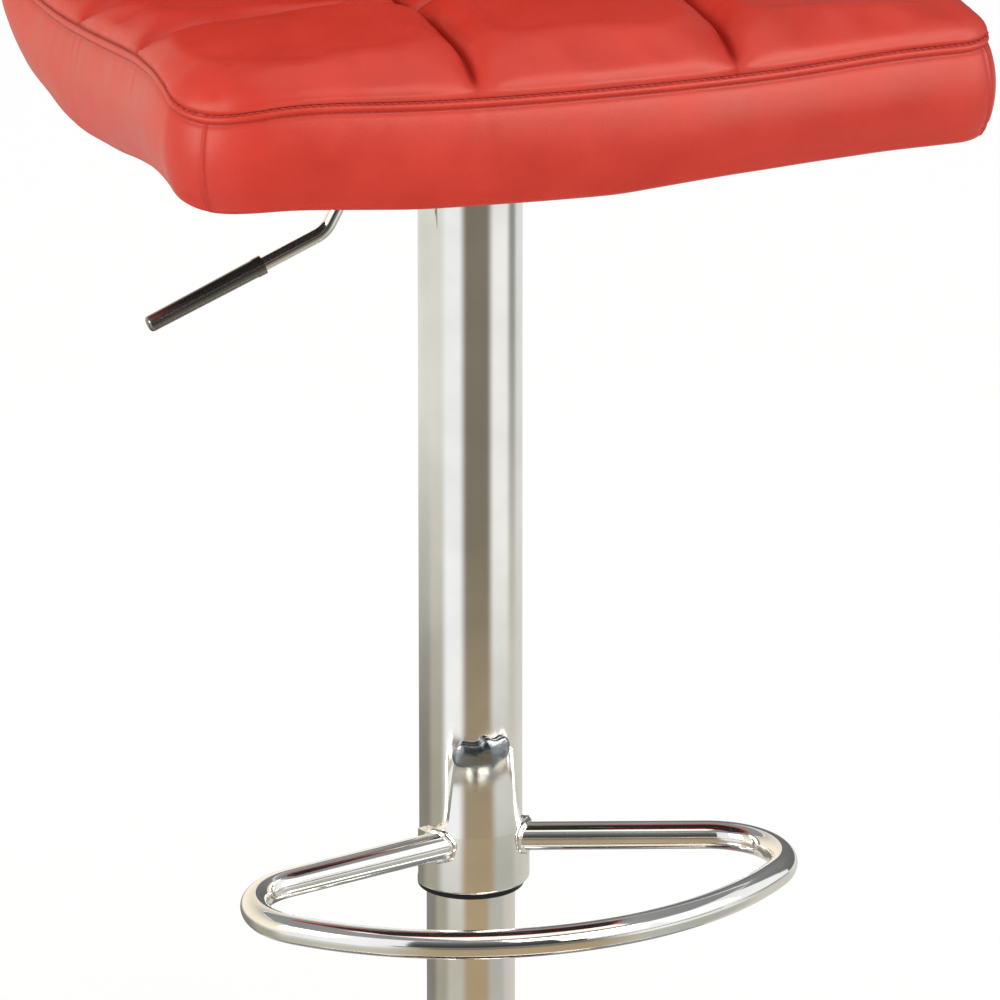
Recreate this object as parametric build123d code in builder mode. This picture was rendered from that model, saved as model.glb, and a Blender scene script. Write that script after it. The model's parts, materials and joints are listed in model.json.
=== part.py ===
"""Adjustable swivel stool: floor base, gas-lift column, footrest, quilted seat and back, height lever.

Millimetres, +Z up. The origin is on the floor under the column's axis, the seat faces -Y and the
lever points to -X. The stool is drawn with its seat raised by rest_lift from the lowest height.
"""
import os
from math import atan2, cos, hypot, radians, sin, sqrt, tan

from build123d import *

# Clearances
running_clearance = 0.05
fit_clearance = 0.1
stop_clearance = 0.3

# Height of the seat over its lowest place
rest_lift = 50

# Base
base_diameter = 410
base_sheet = 2
base_rim_height = 17
base_dome_height = 26
base_flare_radius = 30
base_rim_radius = 8
base_neck_height = 56
floor_ring_height = 4
floor_ring_width = 17
floor_ring_lip = 3
base_weight_thickness = 4
base_weight_margin = 7
base_socket_wall = 9
base_socket_height = 16

# Stand tube
stand_tube_diameter = 50
stand_tube_wall = 1.5
stand_tube_drop = 87
end_plate_thickness = 5
end_plate_recess = 6
upper_guide_length = 98
upper_guide_flange = 3

# Swivel bearing
race_diameter = 26
race_thickness = 2
ball_diameter = 4.8
ball_circle_diameter = 17
ball_count = 8
ball_play = 0.1
cage_thickness = 1.6
cage_width = 7.5

# Piston rod
rod_diameter = 10
rod_stud_diameter = 8
rod_clip_thickness = 2
rod_clip_diameter = 15
rod_clip_groove = 0.8
rod_tail = 2
stop_sleeve_length = 77
stop_sleeve_diameter = 24
bumper_length = 16
bumper_diameter = 26
piston_drop = 75
piston_length = 14
piston_diameter = 22.4
piston_ring_height = 4
piston_ring_depth = 2
rod_head_diameter = 12
rod_head_thickness = 3

# Gas cylinder
cylinder_diameter = 28
cylinder_bore = 23
cylinder_lip = 6
cylinder_lip_hole = 13
cylinder_crown = 14
taper_length = 54
taper_shrink = 2.6
rod_guide_length = 20
valve_pin_diameter = 8
valve_pin_rise = 7.7
valve_pin_dome = 2.5
valve_head_diameter = 12
valve_head_thickness = 5

# Cover tube and footrest
cover_tube_diameter = 58
cover_tube_wall = 1.5
cover_tube_bottom = 177
cover_bush_length = 38
cover_bush_flange = 2
cover_bush_flange_diameter = 60
saddle_thickness = 4
saddle_taper = 1.5
saddle_height = 86
saddle_top_round = 2.2
saddle_foot_round = 2
saddle_tongue_width = 33
saddle_tongue_foot_width = 44
saddle_shoulder_height = 34
saddle_wing_setback = 5
saddle_flare_radius = 12
footrest_height = 28
footrest_tube_diameter = 16
footrest_tube_wall = 1.5
footrest_reach = 178
footrest_front_radius = 197
footrest_half_width = 152
footrest_bend_radius = 42
footrest_arm_angle = 17

# Seat plate and taper hub
plate_drop = 31
plate_sheet = 3
plate_box_width = 88
plate_box_depth = 120
plate_flange_size = 170
plate_corner_radius = 12
taper_top_rise = 3
taper_hub_diameter = 40
taper_hub_length = 48
bolt_spacing = 136
bolt_diameter = 8
bolt_head_width = 13
bolt_head_height = 5.5
bolt_reach = 5
washer_diameter = 18
washer_thickness = 1.6
tee_nut_diameter = 19
tee_nut_flange = 1.5
tee_nut_barrel_wall = 1.2

# Lever
lever_diameter = 8
lever_pivot_x = -30
lever_tongue = 12
lever_knee_x = -51
lever_elbow = (-83.5, -60.5)
lever_tip = (-185.2, -104.5)
lever_bend_radius = 16
lever_grip_length = 72
lever_grip_start_diameter = 10.4
lever_grip_end_diameter = 9.2
lever_grip_collar_diameter = 11
lever_grip_collar_length = 5
lever_grip_cap = 4
lever_pin_diameter = 4
lever_ear_thickness = 3
lever_ear_width = 14
lever_ear_head = 7
lever_ear_gap = 0.6
lever_window_width = 24

# Seat and back
seat_under_height = 638
seat_rake = 3.5
back_lean = 11.8
seat_front = 245
seat_heel = 163.7
back_length = 397
seat_half_width = 225
seat_front_bow = 24
seat_corner_radius = 28
side_draw = 4
seat_thickness = 80
back_thickness = 66
crown_rise = 8
roll_radius = 26
hem_radius = 8
back_corner_radius = 45
back_top_bow = 8
bend_radius = 86
cover_sheet = 2
plywood_thickness = 10
shell_margin = 14
shell_front_margin = 45
shell_corner_radius = 28
dust_cover_end = 87
quilt_groove_width = 30
quilt_groove_depth = 12
quilt_column = 72
seat_quilt_rows = (-119, -3)
back_quilt_rows = (184, 291)
bolt_well = 8

# Heights worked out up the column
stand_tube_bottom = floor_ring_height + floor_ring_lip
plate_floor_height = seat_under_height - plate_drop
stand_tube_top = plate_floor_height - stand_tube_drop - rest_lift
base_weight_top = stand_tube_bottom + base_weight_thickness
end_plate_bottom = stand_tube_bottom + end_plate_recess
end_plate_top = end_plate_bottom + end_plate_thickness
lower_race_top = end_plate_top + race_thickness
upper_race_bottom = lower_race_top + ball_diameter + 2 * ball_play
rod_shoulder = upper_race_bottom + race_thickness
bumper_bottom = rod_shoulder + stop_sleeve_length
bumper_top = bumper_bottom + bumper_length
cylinder_bottom = bumper_top + stop_clearance + rest_lift
cylinder_top = plate_floor_height + plate_sheet + taper_top_rise
piston_height = cylinder_top - piston_drop - rest_lift
taper_bottom = cylinder_top - taper_length
valve_pin_top = cylinder_top + valve_pin_rise
lever_axis_height = valve_pin_top + stop_clearance + lever_diameter / 2

# Radii
stand_radius = stand_tube_diameter / 2
cover_radius = cover_tube_diameter / 2
cylinder_radius = cylinder_diameter / 2
base_radius = base_diameter / 2
rod_radius = rod_diameter / 2
stud_radius = rod_stud_diameter / 2
bore_radius = cylinder_bore / 2

# Planes of the seat and the back; the heel is where the two undersides would meet
rake = radians(seat_rake)
lean = radians(back_lean)
seat_plane = Plane((0, 0, seat_under_height), x_dir=(1, 0, 0), z_dir=(0, sin(rake), cos(rake)))
heel = seat_plane.from_local_coords((0, seat_heel, 0))
back_plane = Plane(heel, x_dir=(1, 0, 0), z_dir=(0, -cos(lean), sin(lean)))

# The crease is where the top of the seat meets the front of the back
heel_angle = radians(90 + back_lean - seat_rake)
crease_on_seat = (back_thickness + seat_thickness * cos(heel_angle)) / sin(heel_angle)
crease = seat_plane.from_local_coords((0, seat_heel - crease_on_seat, seat_thickness))
crease_run = crease - heel
bend_run = bend_radius / tan(heel_angle / 2)
miter_plane = Plane(heel, x_dir=(1, 0, 0), z_dir=(0, crease_run.Z, -crease_run.Y))

os.makedirs("parts", exist_ok=True)


def ring(inner_radius, outer_radius, bottom, top):
    """Plain ring round the column, from one height to another."""
    with BuildPart() as body:
        with BuildSketch(Plane.XY.offset(bottom)):
            Circle(outer_radius)
            Circle(inner_radius, mode=Mode.SUBTRACT)
        extrude(amount=top - bottom)
    return body.part


def save(part, name):
    """Label a finished piece and write it."""
    part.label = name
    export_step(part, f"parts/{name}.step")


# Base shell: a spun cone that flares up round the stand tube
with BuildSketch(Plane.XZ) as base_outline:
    with BuildLine():
        Polyline(
            (0, floor_ring_height),
            (base_radius, floor_ring_height),
            (base_radius, base_rim_height),
            (stand_radius + base_sheet, base_dome_height),
            (stand_radius + base_sheet, base_neck_height),
            (0, base_neck_height),
            close=True,
        )
    make_face()
    flare_corner = (stand_radius + base_sheet, base_dome_height)
    fillet(base_outline.vertices().sort_by_distance(flare_corner)[0], base_flare_radius)
    rim_corner = (base_radius, base_rim_height)
    fillet(base_outline.vertices().sort_by_distance(rim_corner)[0], base_rim_radius)

base_hollow = offset(base_outline.sketch, amount=-base_sheet)

with BuildPart() as base_shell:
    add(base_outline.sketch)
    revolve(axis=Axis.Z)
    add(base_hollow)
    revolve(axis=Axis.Z, mode=Mode.SUBTRACT)
    with BuildSketch(Plane.XY.offset(floor_ring_height)):
        Circle(base_radius - base_sheet)
    extrude(amount=base_sheet, mode=Mode.SUBTRACT)
    with BuildSketch(Plane.XY):
        Circle(stand_radius + fit_clearance)
    extrude(amount=base_neck_height, mode=Mode.SUBTRACT)
save(base_shell.part, "base_shell")

# Floor ring: rubber step that the shell's edge and the weight stand on
with BuildPart() as floor_ring:
    with BuildSketch():
        Circle(base_radius)
        Circle(base_radius - floor_ring_width, mode=Mode.SUBTRACT)
    extrude(amount=floor_ring_height)
    with BuildSketch(Plane.XY.offset(floor_ring_height)):
        Circle(base_radius - base_sheet - fit_clearance)
        Circle(base_radius - floor_ring_width, mode=Mode.SUBTRACT)
    extrude(amount=floor_ring_lip)
save(floor_ring.part, "floor_ring")

# Ballast disc and the socket that holds the stand tube
base_weight = ring(
    stand_radius + fit_clearance, base_radius - base_weight_margin, stand_tube_bottom, base_weight_top
)
save(base_weight, "base_weight")
base_socket = ring(
    stand_radius + fit_clearance,
    stand_radius + base_socket_wall,
    base_weight_top,
    base_weight_top + base_socket_height,
)
save(base_socket, "base_socket")

# Stand tube with its end plate
with BuildPart() as stand_tube:
    with BuildSketch(Plane.XY.offset(stand_tube_bottom)):
        Circle(stand_radius)
        Circle(stand_radius - stand_tube_wall, mode=Mode.SUBTRACT)
    extrude(amount=stand_tube_top - stand_tube_bottom)
    with BuildSketch(Plane.XY.offset(end_plate_bottom)):
        Circle(stand_radius - stand_tube_wall / 2)
        Circle(stud_radius + running_clearance, mode=Mode.SUBTRACT)
    extrude(amount=end_plate_thickness)
save(stand_tube.part, "stand_tube")

# Upper guide: flanged plastic sleeve between the stand tube and the gas cylinder
with BuildPart() as upper_guide:
    with BuildSketch(Plane.XY.offset(stand_tube_top - upper_guide_length)):
        Circle(stand_radius - stand_tube_wall - running_clearance)
        Circle(cylinder_radius + running_clearance, mode=Mode.SUBTRACT)
    extrude(amount=upper_guide_length)
    with BuildSketch(Plane.XY.offset(stand_tube_top)):
        Circle(stand_radius)
        Circle(cylinder_radius + running_clearance, mode=Mode.SUBTRACT)
    extrude(amount=upper_guide_flange)
save(upper_guide.part, "upper_guide")

# Swivel bearing: two races with caged balls between them
thrust_washer = ring(stud_radius + fit_clearance, race_diameter / 2, end_plate_top, lower_race_top)
save(thrust_washer, "thrust_washer")
bearing_race = ring(stud_radius + fit_clearance, race_diameter / 2, upper_race_bottom, rod_shoulder)
save(bearing_race, "bearing_race")
ball_height = (lower_race_top + upper_race_bottom) / 2
ball_circle = ball_circle_diameter / 2

with BuildPart() as bearing_balls:
    with Locations((0, 0, ball_height)):
        with PolarLocations(ball_circle, ball_count):
            Sphere(ball_diameter / 2)
save(bearing_balls.part, "bearing_balls")

with BuildPart() as bearing_cage:
    with BuildSketch(Plane.XY.offset(ball_height - cage_thickness / 2)):
        Circle(ball_circle + cage_width / 2)
        Circle(ball_circle - cage_width / 2, mode=Mode.SUBTRACT)
        with PolarLocations(ball_circle, ball_count):
            Circle(ball_diameter / 2 + fit_clearance, mode=Mode.SUBTRACT)
    extrude(amount=cage_thickness)
save(bearing_cage.part, "bearing_cage")

# Piston rod: stud through the end plate, long shaft, stud for the piston and a riveted head
clip_top = end_plate_bottom - fit_clearance
clip_bottom = clip_top - rod_clip_thickness
rod_end = clip_bottom - rod_tail
piston_top = piston_height + piston_length

with BuildPart() as piston_rod:
    with BuildSketch(Plane.XZ):
        with BuildLine():
            Polyline(
                (0, rod_end),
                (stud_radius, rod_end),
                (stud_radius, clip_bottom),
                (stud_radius - rod_clip_groove, clip_bottom),
                (stud_radius - rod_clip_groove, clip_top),
                (stud_radius, clip_top),
                (stud_radius, rod_shoulder),
                (rod_radius, rod_shoulder),
                (rod_radius, piston_height),
                (stud_radius, piston_height),
                (stud_radius, piston_top),
                (rod_head_diameter / 2, piston_top),
                (rod_head_diameter / 2, piston_top + rod_head_thickness),
                (0, piston_top + rod_head_thickness),
                close=True,
            )
        make_face()
    revolve(axis=Axis.Z)
save(piston_rod.part, "piston_rod")

# Clip in the rod's groove, open on one side
with BuildPart() as rod_clip:
    with BuildSketch(Plane.XY.offset(clip_bottom)):
        Circle(rod_clip_diameter / 2)
        Circle(stud_radius - rod_clip_groove + running_clearance, mode=Mode.SUBTRACT)
        with Locations((rod_clip_diameter / 2, 0)):
            Rectangle(rod_clip_diameter, stud_radius, mode=Mode.SUBTRACT)
    extrude(amount=rod_clip_thickness)
save(rod_clip.part, "rod_clip")

# Stop sleeve and rubber bumper that carry the cylinder at the lowest height
stop_sleeve = ring(rod_radius + fit_clearance, stop_sleeve_diameter / 2, rod_shoulder, bumper_bottom)
save(stop_sleeve, "stop_sleeve")
bumper = ring(rod_radius + fit_clearance, bumper_diameter / 2, bumper_bottom, bumper_top)
save(bumper, "bumper")

# Piston with its seal
ring_bottom = piston_height + (piston_length - piston_ring_height) / 2
ring_top = ring_bottom + piston_ring_height
piston_radius = piston_diameter / 2
groove_radius = piston_radius - piston_ring_depth

with BuildPart() as piston:
    with BuildSketch(Plane.XZ):
        with BuildLine():
            Polyline(
                (stud_radius + running_clearance, piston_height),
                (piston_radius, piston_height),
                (piston_radius, ring_bottom),
                (groove_radius, ring_bottom),
                (groove_radius, ring_top),
                (piston_radius, ring_top),
                (piston_radius, piston_top),
                (stud_radius + running_clearance, piston_top),
                close=True,
            )
        make_face()
    revolve(axis=Axis.Z)
save(piston.part, "piston")
piston_ring = ring(
    groove_radius + running_clearance,
    bore_radius - running_clearance,
    ring_bottom + running_clearance,
    ring_top - running_clearance,
)
save(piston_ring, "piston_ring")

# Gas cylinder: lipped at the foot, tapered at the head
head_radius = cylinder_radius - taper_shrink / 2
valve_radius = valve_pin_diameter / 2
bore_top = cylinder_top - cylinder_crown

with BuildPart() as gas_cylinder:
    with BuildSketch(Plane.XZ):
        with BuildLine():
            Polyline(
                (cylinder_lip_hole / 2, cylinder_bottom),
                (cylinder_radius, cylinder_bottom),
                (cylinder_radius, taper_bottom),
                (head_radius, cylinder_top),
                (valve_radius + running_clearance, cylinder_top),
                (valve_radius + running_clearance, bore_top),
                (bore_radius, bore_top),
                (bore_radius, cylinder_bottom + cylinder_lip),
                (cylinder_lip_hole / 2, cylinder_bottom + cylinder_lip),
                close=True,
            )
        make_face()
    revolve(axis=Axis.Z)
save(gas_cylinder.part, "gas_cylinder")

rod_guide = ring(
    rod_radius + running_clearance,
    bore_radius - running_clearance,
    cylinder_bottom + cylinder_lip,
    cylinder_bottom + cylinder_lip + rod_guide_length,
)
save(rod_guide, "rod_guide")

# Valve pin: headed inside the cylinder, with a domed top under the lever
with BuildPart() as valve_pin:
    with BuildSketch(Plane.XY.offset(bore_top - stop_clearance - valve_head_thickness)):
        Circle(valve_head_diameter / 2)
    extrude(amount=valve_head_thickness)
    with BuildSketch(Plane.XY.offset(bore_top - stop_clearance)):
        Circle(valve_radius)
    extrude(amount=valve_pin_top - bore_top + stop_clearance)
    fillet(valve_pin.edges().sort_by(Axis.Z)[-1], valve_pin_dome)
save(valve_pin.part, "valve_pin")

# Cover tube and its bush, which slides on the stand tube
cover_tube = ring(cover_radius - cover_tube_wall, cover_radius, cover_tube_bottom, plate_floor_height)
save(cover_tube, "cover_tube")

with BuildPart() as cover_bush:
    with BuildSketch(Plane.XY.offset(cover_tube_bottom - cover_bush_flange)):
        Circle(cover_bush_flange_diameter / 2)
        Circle(stand_radius + running_clearance, mode=Mode.SUBTRACT)
    extrude(amount=cover_bush_flange)
    with BuildSketch(Plane.XY.offset(cover_tube_bottom)):
        Circle(cover_radius - cover_tube_wall - running_clearance)
        Circle(stand_radius + running_clearance, mode=Mode.SUBTRACT)
    extrude(amount=cover_bush_length)
save(cover_bush.part, "cover_bush")

# Footrest saddle: a tapered half sleeve with a tongue up the front of the cover tube
saddle_inner = cover_radius + fit_clearance
saddle_foot_radius = saddle_inner + saddle_thickness
saddle_top_radius = saddle_foot_radius - saddle_taper
saddle_top = cover_tube_bottom + saddle_height
saddle_shoulder = cover_tube_bottom + saddle_shoulder_height

with BuildSketch(Plane.XZ) as saddle_section:
    with BuildLine():
        Polyline(
            (saddle_inner, cover_tube_bottom),
            (saddle_foot_radius, cover_tube_bottom),
            (saddle_foot_radius, saddle_shoulder),
            (saddle_top_radius, saddle_top),
            (saddle_inner, saddle_top),
            close=True,
        )
    make_face()
    top_corner = (saddle_top_radius, saddle_top)
    fillet(saddle_section.vertices().sort_by_distance(top_corner)[0], saddle_top_round)
    foot_corner = (saddle_foot_radius, cover_tube_bottom)
    fillet(saddle_section.vertices().sort_by_distance(foot_corner)[0], saddle_foot_round)

with BuildPart() as footrest_saddle:
    add(saddle_section.sketch)
    revolve(axis=Axis.Z)
    with BuildSketch(Plane.XZ.offset(saddle_wing_setback)) as saddle_front:
        with BuildLine():
            Polyline(
                (-saddle_foot_radius, cover_tube_bottom),
                (saddle_foot_radius, cover_tube_bottom),
                (saddle_foot_radius, saddle_shoulder),
                (saddle_tongue_foot_width / 2, saddle_shoulder),
                (saddle_tongue_width / 2, saddle_top),
                (-saddle_tongue_width / 2, saddle_top),
                (-saddle_tongue_foot_width / 2, saddle_shoulder),
                (-saddle_foot_radius, saddle_shoulder),
                close=True,
            )
        make_face()
        for side in (-1, 1):
            tongue_root = (side * saddle_tongue_foot_width / 2, saddle_shoulder)
            fillet(saddle_front.vertices().sort_by_distance(tongue_root)[0], saddle_flare_radius)
            tongue_tip = (side * saddle_tongue_width / 2, saddle_top)
            fillet(saddle_front.vertices().sort_by_distance(tongue_tip)[0], saddle_flare_radius / 2)
    extrude(amount=saddle_foot_radius - saddle_wing_setback, mode=Mode.INTERSECT)
save(footrest_saddle.part, "footrest_saddle")

# Footrest ring: a D of tube with a wide front arc, two bends and two arms coped to the saddle
footrest_z = cover_tube_bottom + footrest_height
front_centre = footrest_front_radius - footrest_reach
bend_x = footrest_half_width - footrest_bend_radius
bend_y = front_centre - sqrt((footrest_front_radius - footrest_bend_radius) ** 2 - bend_x**2)
bend_direction = atan2(bend_y - front_centre, bend_x)
arm_angle = radians(footrest_arm_angle)
bend_start = (bend_x + footrest_bend_radius * sin(arm_angle), bend_y + footrest_bend_radius * cos(arm_angle))
bend_middle = (footrest_half_width, bend_y)
bend_end = (
    footrest_front_radius * cos(bend_direction),
    front_centre + footrest_front_radius * sin(bend_direction),
)
arm_root_x = saddle_inner / 2
arm_root = (arm_root_x, bend_start[1] + (bend_start[0] - arm_root_x) * tan(arm_angle))


def mirrored(point):
    """Point across the stool's middle plane."""
    return (-point[0], point[1])


with BuildPart() as footrest_ring:
    with BuildLine(Plane.XY.offset(footrest_z)) as footrest_path:
        Line(arm_root, bend_start)
        ThreePointArc(bend_start, bend_middle, bend_end)
        ThreePointArc(bend_end, (0, -footrest_reach), mirrored(bend_end))
        ThreePointArc(mirrored(bend_end), mirrored(bend_middle), mirrored(bend_start))
        Line(mirrored(bend_start), mirrored(arm_root))
    with BuildSketch(Plane(footrest_path.line @ 0, z_dir=footrest_path.line % 0)):
        Circle(footrest_tube_diameter / 2)
        Circle(footrest_tube_diameter / 2 - footrest_tube_wall, mode=Mode.SUBTRACT)
    sweep()
    with BuildSketch(Plane.XY.offset(footrest_z - footrest_tube_diameter)):
        Circle(saddle_foot_radius)
    extrude(amount=2 * footrest_tube_diameter, mode=Mode.SUBTRACT)
save(footrest_ring.part, "footrest_ring")

# Taper hub under the seat plate
with BuildPart() as taper_hub:
    with BuildSketch(Plane.XY.offset(plate_floor_height - taper_hub_length)):
        Circle(taper_hub_diameter / 2)
    extrude(amount=taper_hub_length)
    with BuildSketch(Plane.XZ):
        with BuildLine():
            Polyline(
                (0, taper_bottom - taper_length),
                (cylinder_radius + fit_clearance, taper_bottom - taper_length),
                (cylinder_radius + fit_clearance, taper_bottom),
                (head_radius + fit_clearance, cylinder_top),
                (0, cylinder_top),
                close=True,
            )
        make_face()
    revolve(axis=Axis.Z, mode=Mode.SUBTRACT)
save(taper_hub.part, "taper_hub")

# Seat plate: an open pressed box with a raked flange
lever_wall_x = -plate_box_width / 2

with BuildPart() as seat_plate:
    with BuildSketch(Plane.XY.offset(plate_floor_height)):
        Rectangle(plate_box_width, plate_box_depth)
    extrude(amount=2 * plate_drop)
    split(bisect_by=seat_plane, keep=Keep.BOTTOM)
    with BuildSketch(seat_plane):
        RectangleRounded(plate_flange_size, plate_flange_size, plate_corner_radius)
        with GridLocations(bolt_spacing, bolt_spacing, 2, 2):
            Circle(bolt_diameter / 2 + fit_clearance, mode=Mode.SUBTRACT)
    extrude(amount=-plate_sheet)
    with BuildSketch(Plane.XY.offset(plate_floor_height + plate_sheet)):
        Rectangle(plate_box_width - 2 * plate_sheet, plate_box_depth - 2 * plate_sheet)
    extrude(amount=2 * plate_drop, mode=Mode.SUBTRACT)
    with BuildSketch(Plane.XY.offset(plate_floor_height)):
        Circle(cylinder_radius + fit_clearance)
    extrude(amount=plate_sheet, mode=Mode.SUBTRACT)
    with BuildSketch(Plane.XY.offset(plate_floor_height + plate_sheet)):
        with Locations((lever_wall_x, 0)):
            Rectangle(4 * plate_sheet, lever_window_width)
    extrude(amount=plate_drop - 3 * plate_sheet, mode=Mode.SUBTRACT)
save(seat_plate.part, "seat_plate")

# Lever bracket: two ears on the plate's floor, with the pivot pin across them
ear_inner = lever_diameter / 2 + lever_ear_gap
ear_foot = plate_floor_height + plate_sheet
ear_outer = ear_inner + lever_ear_thickness

with BuildPart() as lever_bracket:
    with BuildSketch(Plane.XZ.offset(-ear_outer)):
        with Locations((lever_pivot_x, lever_axis_height)):
            Circle(lever_ear_head)
        with Locations((lever_pivot_x, (ear_foot + lever_axis_height) / 2)):
            Rectangle(lever_ear_width, lever_axis_height - ear_foot)
        with Locations((lever_pivot_x, lever_axis_height)):
            Circle(lever_pin_diameter / 2 + running_clearance, mode=Mode.SUBTRACT)
    extrude(amount=lever_ear_thickness)
    mirror(about=Plane.XZ)
save(lever_bracket.part, "lever_bracket")

with BuildPart() as lever_pin:
    with BuildSketch(Plane.XZ.offset(-ear_outer)):
        with Locations((lever_pivot_x, lever_axis_height)):
            Circle(lever_pin_diameter / 2)
    extrude(amount=2 * ear_outer)
save(lever_pin.part, "lever_pin")

# Lever rod: tongue over the valve pin, knee, elbow and a straight end inside the grip
elbow_point = (lever_elbow[0], lever_axis_height + lever_elbow[1])
tip_point = (lever_tip[0], lever_axis_height + lever_tip[1])
grip_run = hypot(tip_point[0] - elbow_point[0], tip_point[1] - elbow_point[1])
grip_direction = (
    (tip_point[0] - elbow_point[0]) / grip_run,
    0,
    (tip_point[1] - elbow_point[1]) / grip_run,
)
rod_tip = (
    tip_point[0] - grip_direction[0] * lever_grip_cap,
    tip_point[1] - grip_direction[2] * lever_grip_cap,
)

with BuildPart() as lever_rod:
    with BuildLine(Plane.XZ) as lever_path:
        FilletPolyline(
            (lever_tongue, lever_axis_height),
            (lever_knee_x, lever_axis_height),
            elbow_point,
            rod_tip,
            radius=lever_bend_radius,
        )
    with BuildSketch(Plane(lever_path.line @ 0, z_dir=lever_path.line % 0)):
        Circle(lever_diameter / 2)
    sweep()
    with BuildSketch(Plane.XZ.offset(-ear_outer)):
        with Locations((lever_pivot_x, lever_axis_height)):
            Circle(lever_pin_diameter / 2 + running_clearance)
    extrude(amount=2 * ear_outer, mode=Mode.SUBTRACT)
save(lever_rod.part, "lever_rod")

# Lever grip: tapered sleeve with a collar and a closed end
grip_start = Vector(tip_point[0], 0, tip_point[1]) - Vector(*grip_direction) * lever_grip_length
grip_plane = Plane(grip_start, x_dir=(0, 1, 0), z_dir=grip_direction)

with BuildPart() as lever_grip:
    with BuildSketch(grip_plane):
        Circle(lever_grip_start_diameter / 2)
    with BuildSketch(grip_plane.offset(lever_grip_length)):
        Circle(lever_grip_end_diameter / 2)
    loft()
    with BuildSketch(grip_plane):
        Circle(lever_grip_collar_diameter / 2)
    extrude(amount=lever_grip_collar_length)
    fillet(lever_grip.edges().sort_by(Axis.X)[0], lever_grip_end_diameter / 4)
    with BuildSketch(grip_plane):
        Circle(lever_diameter / 2 + running_clearance)
    extrude(amount=lever_grip_length - lever_grip_cap + fit_clearance, mode=Mode.SUBTRACT)
save(lever_grip.part, "lever_grip")

# Bolts, washers and tee nuts, on the seat's raked plane
washer_bottom = -plate_sheet - washer_thickness
shell_top = cover_sheet + plywood_thickness
bolt_end = shell_top + bolt_reach

with BuildPart() as seat_bolts:
    with BuildSketch(seat_plane.offset(washer_bottom)):
        with GridLocations(bolt_spacing, bolt_spacing, 2, 2):
            RegularPolygon(bolt_head_width / 2, 6, major_radius=False)
    extrude(amount=-bolt_head_height)
    with BuildSketch(seat_plane.offset(washer_bottom)):
        with GridLocations(bolt_spacing, bolt_spacing, 2, 2):
            Circle(bolt_diameter / 2)
    extrude(amount=bolt_end - washer_bottom)
save(seat_bolts.part, "seat_bolts")

with BuildPart() as bolt_washers:
    with BuildSketch(seat_plane.offset(washer_bottom)):
        with GridLocations(bolt_spacing, bolt_spacing, 2, 2):
            Circle(washer_diameter / 2)
            Circle(bolt_diameter / 2 + fit_clearance, mode=Mode.SUBTRACT)
    extrude(amount=washer_thickness)
save(bolt_washers.part, "bolt_washers")

barrel_radius = bolt_diameter / 2 + fit_clearance + tee_nut_barrel_wall

with BuildPart() as tee_nuts:
    with BuildSketch(seat_plane.offset(shell_top)):
        with GridLocations(bolt_spacing, bolt_spacing, 2, 2):
            Circle(tee_nut_diameter / 2)
            Circle(bolt_diameter / 2 + fit_clearance, mode=Mode.SUBTRACT)
    extrude(amount=tee_nut_flange)
    with BuildSketch(seat_plane.offset(cover_sheet)):
        with GridLocations(bolt_spacing, bolt_spacing, 2, 2):
            Circle(barrel_radius)
            Circle(bolt_diameter / 2 + fit_clearance, mode=Mode.SUBTRACT)
    extrude(amount=plywood_thickness)
save(tee_nuts.part, "tee_nuts")


def bent_strip(start, end, outer_depth, inner_depth):
    """Closed side view of a sheet that follows the seat's underside, the bend and the back's rear.

    start is a place along the seat, end is one along the back, and the depths are measured inward.
    """

    def on_seat(run, depth):
        point = seat_plane.from_local_coords((0, run, depth))
        return (point.Y, point.Z)

    def on_back(run, depth):
        point = back_plane.from_local_coords((0, run, depth))
        return (point.Y, point.Z)

    with BuildSketch(Plane.YZ, mode=Mode.PRIVATE) as strip:
        with BuildLine():
            ends = []
            for depth in (outer_depth, inner_depth):
                bend_in = on_seat(seat_heel - bend_run, depth)
                bend_out = on_back(bend_run, depth)
                Line(on_seat(start, depth), bend_in)
                RadiusArc(bend_in, bend_out, -(bend_radius - depth))
                Line(bend_out, on_back(end, depth))
                ends.append((on_seat(start, depth), on_back(end, depth)))
            Line(ends[0][0], ends[1][0])
            Line(ends[0][1], ends[1][1])
        make_face()
    return strip.sketch


def top_corners(part, thickness):
    """Two edges across a bent sheet at the top of the back."""
    across = part.edges().filter_by(lambda edge: abs(edge.length - thickness) < fit_clearance)
    return across.sort_by(Axis.Z)[-2:]


shell_half_width = seat_half_width - shell_margin
shell_front = shell_front_margin - seat_front
shell_back_end = back_length - shell_margin

# Bent plywood shell of the seat and back
with BuildPart() as seat_shell:
    plywood_strip = bent_strip(shell_front, shell_back_end, cover_sheet, shell_top)
    extrude(plywood_strip, amount=shell_half_width, dir=(1, 0, 0), both=True)
    fillet(top_corners(seat_shell, plywood_thickness), shell_corner_radius)
    with BuildSketch(seat_plane):
        with GridLocations(bolt_spacing, bolt_spacing, 2, 2):
            Circle(barrel_radius + fit_clearance)
    extrude(amount=2 * shell_top, mode=Mode.SUBTRACT)
save(seat_shell.part, "seat_shell")

# Dust cover under the seat, and the rear panel round the bend and up the back
with BuildPart() as dust_cover:
    with BuildSketch(seat_plane):
        with Locations((0, (shell_front + dust_cover_end) / 2)):
            Rectangle(2 * shell_half_width, dust_cover_end - shell_front)
        with GridLocations(bolt_spacing, bolt_spacing, 2, 2):
            Circle(bolt_diameter / 2 + fit_clearance, mode=Mode.SUBTRACT)
    extrude(amount=cover_sheet)
save(dust_cover.part, "dust_cover")

with BuildPart() as rear_panel:
    panel_strip = bent_strip(dust_cover_end, shell_back_end, 0, cover_sheet)
    extrude(panel_strip, amount=shell_half_width, dir=(1, 0, 0), both=True)
    fillet(top_corners(rear_panel, cover_sheet), shell_corner_radius)
save(rear_panel.part, "rear_panel")


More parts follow.
